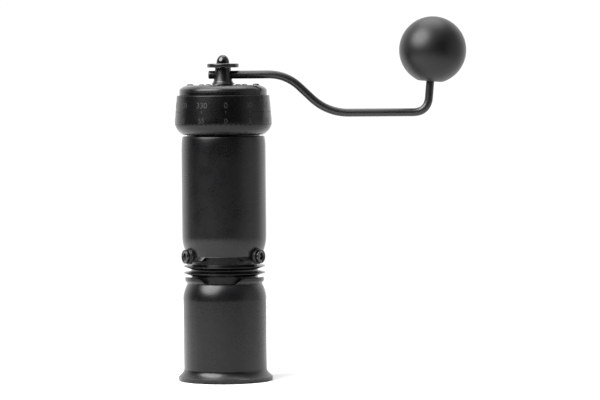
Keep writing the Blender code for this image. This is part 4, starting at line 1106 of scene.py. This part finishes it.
def makeHubCap(look):
    low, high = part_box("hub_flange")
    hole, edge = look["studHole"], look["flangeEdge"]
    points = [(hole, low.z), (high.x, low.z, edge), (high.x, high.z, edge), (hole, high.z)]
    flange = newPiece("hubFlange", turnedShape(softProfile(points, 0.2 * mm, 5), 120))
    placed(smoothed(flange), "crank", finish["crank"], ["hub_flange"])
    low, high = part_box("crown_nut")
    tall = high.z - low.z
    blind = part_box("hub_stud")[1].z + 0.2 * mm
    outside = [(high.x, low.z + 0.12 * tall)]
    for i in range(1, 24):
        t = i / 24
        outside.append((high.x * math.sqrt(1 - t**1.7), low.z + (0.15 + 0.85 * t) * tall))
    seat = low.z - 0.25 * mm
    points = [
        (0, blind), (hole, blind), (hole, seat), (high.x, seat, 0.1 * mm), *outside, (0, high.z),
    ]
    nut = newPiece("crownNut", turnedShape(softProfile(points, 0.1 * mm), 96))
    placed(smoothed(nut), "crank", finish["polished"], ["crown_nut"])


makeRod(crankLook)
makeHub(crankLook)
makeHubCap(crankLook)
print("crank is made")


# The knob

knobLook = {
    "radius": 20.1 * mm, "flat": 18.8 * mm, "edge": 1.1 * mm, "bore": 4.5 * mm, "boreTop": 10.7 * mm,
}


def makeKnob(look):
    radius, flat = look["radius"], look["flat"]
    start = math.asin(-flat / radius)
    ball = []
    for i in range(1, 60):
        angle = start + (math.pi / 2 - start) * i / 60
        ball.append((radius * math.cos(angle), radius * math.sin(angle)))
    rim = math.sqrt(radius**2 - flat**2)
    points = [(0, look["boreTop"]), (look["bore"], look["boreTop"]), (look["bore"], -flat, 0.5 * mm),
              (rim, -flat, look["edge"]), *ball, (0, radius)]
    shape = turnedShape(softProfile(points, 0.3 * mm, 4), 144)
    lean = Matrix.Rotation(crankLook["knobLean"], 4, "Y")
    shape.transform(Matrix.Translation(crankLook["knobCentre"]) @ lean)
    piece = newPiece("knob", shape)
    return placed(smoothed(piece), "knob", finish["knob"], ["knob"])


makeKnob(knobLook)
print("knob is made")


# Floor, light and background

stageLook = {
    "floorColour": (0.70, 0.70, 0.70),
    "floorRadius": 0.65,
    "seen": 1.05,          # brightness of the background itself
    "behind": 1.5,         # brightness of what the grinder reflects: behind it,
    "front": 0.02,         # in front of it,
    "above": 0.9,          # over it
    "right": 0.8,          # and on its right
    "topLight": {"at": (0.0, 0.5, 2.2), "aim": (0.05, 0.0, 0.1), "size": 2.0, "power": 34.0},
    "keyLight": {"at": (-0.50, -0.45, 0.80), "aim": (0.0, 0.0, 0.10), "size": 0.95, "power": 28.0},
}


def makeFloor(look):
    shape = bmesh.new()
    bmesh.ops.create_circle(shape, cap_ends=True, segments=96, radius=look["floorRadius"])
    floor = newPiece("floor", shape)
    paint = bpy.data.materials.new("floorPaint")
    paint.use_nodes = True
    tree = paint.node_tree
    shader = tree.nodes["Principled BSDF"]
    shader.inputs["Roughness"].default_value = 0.9
    shader.inputs["Specular IOR Level"].default_value = 0.1
    coords = tree.nodes.new("ShaderNodeTexCoord")
    cloud = tree.nodes.new("ShaderNodeTexNoise")
    cloud.inputs["Scale"].default_value = 3.0
    tree.links.new(coords.outputs["Object"], cloud.inputs["Vector"])
    ramp = tree.nodes.new("ShaderNodeValToRGB")
    ramp.color_ramp.elements[0].color = (*[channel * 0.99 for channel in look["floorColour"]], 1)
    ramp.color_ramp.elements[1].color = (*look["floorColour"], 1)
    tree.links.new(cloud.outputs["Fac"], ramp.inputs["Fac"])
    tree.links.new(ramp.outputs["Color"], shader.inputs["Base Color"])
    floor.data.materials.append(paint)


def makeSky(look):
    # white to the eye; what the grinder reflects is white behind it and dark in front
    world = bpy.data.worlds.new("studio")
    bpy.context.scene.world = world
    world.use_nodes = True
    tree = world.node_tree
    background = tree.nodes["Background"]
    coords = tree.nodes.new("ShaderNodeTexCoord")
    split = tree.nodes.new("ShaderNodeSeparateXYZ")
    tree.links.new(coords.outputs["Generated"], split.inputs[0])

    def ramped(value, low, high, toLow, toHigh):
        node = tree.nodes.new("ShaderNodeMapRange")
        node.interpolation_type = "SMOOTHSTEP"
        for socket, number in zip(("From Min", "From Max", "To Min", "To Max"), (low, high, toLow, toHigh)):
            node.inputs[socket].default_value = number
        tree.links.new(value, node.inputs["Value"])
        return node.outputs["Result"]

    behind = ramped(split.outputs["Y"], 0.05, 0.65, look["front"], look["behind"])
    above = ramped(split.outputs["Z"], 0.45, 0.95, 0.0, look["above"])
    beside = ramped(split.outputs["X"], 0.6, 1.0, 0.0, look["right"])
    brightest = behind
    for side in (above, beside):
        brightest = worked(tree, "MAXIMUM", brightest, side)
    path = tree.nodes.new("ShaderNodeLightPath")
    eye = tree.nodes.new("ShaderNodeMix")
    tree.links.new(path.outputs["Is Camera Ray"], eye.inputs[0])
    tree.links.new(brightest, eye.inputs[2])
    eye.inputs[3].default_value = look["seen"]
    tree.links.new(eye.outputs[0], background.inputs["Strength"])
    background.inputs["Color"].default_value = (1, 1, 1, 1)


def makeLight(name, look):
    data = bpy.data.lights.new(name, "AREA")
    data.shape = "DISK"
    data.size = look["size"]
    data.energy = look["power"]
    lamp = bpy.data.objects.new(name, data)
    lamp.location = look["at"]
    lamp.rotation_euler = (Vector(look["aim"]) - Vector(look["at"])).to_track_quat("-Z", "Y").to_euler()
    bpy.context.collection.objects.link(lamp)


makeFloor(stageLook)
makeSky(stageLook)
for lightName in ("topLight", "keyLight"):
    makeLight(lightName, stageLook[lightName])
bpy.context.scene.view_settings.view_transform = "Standard"
print("stage is lit")
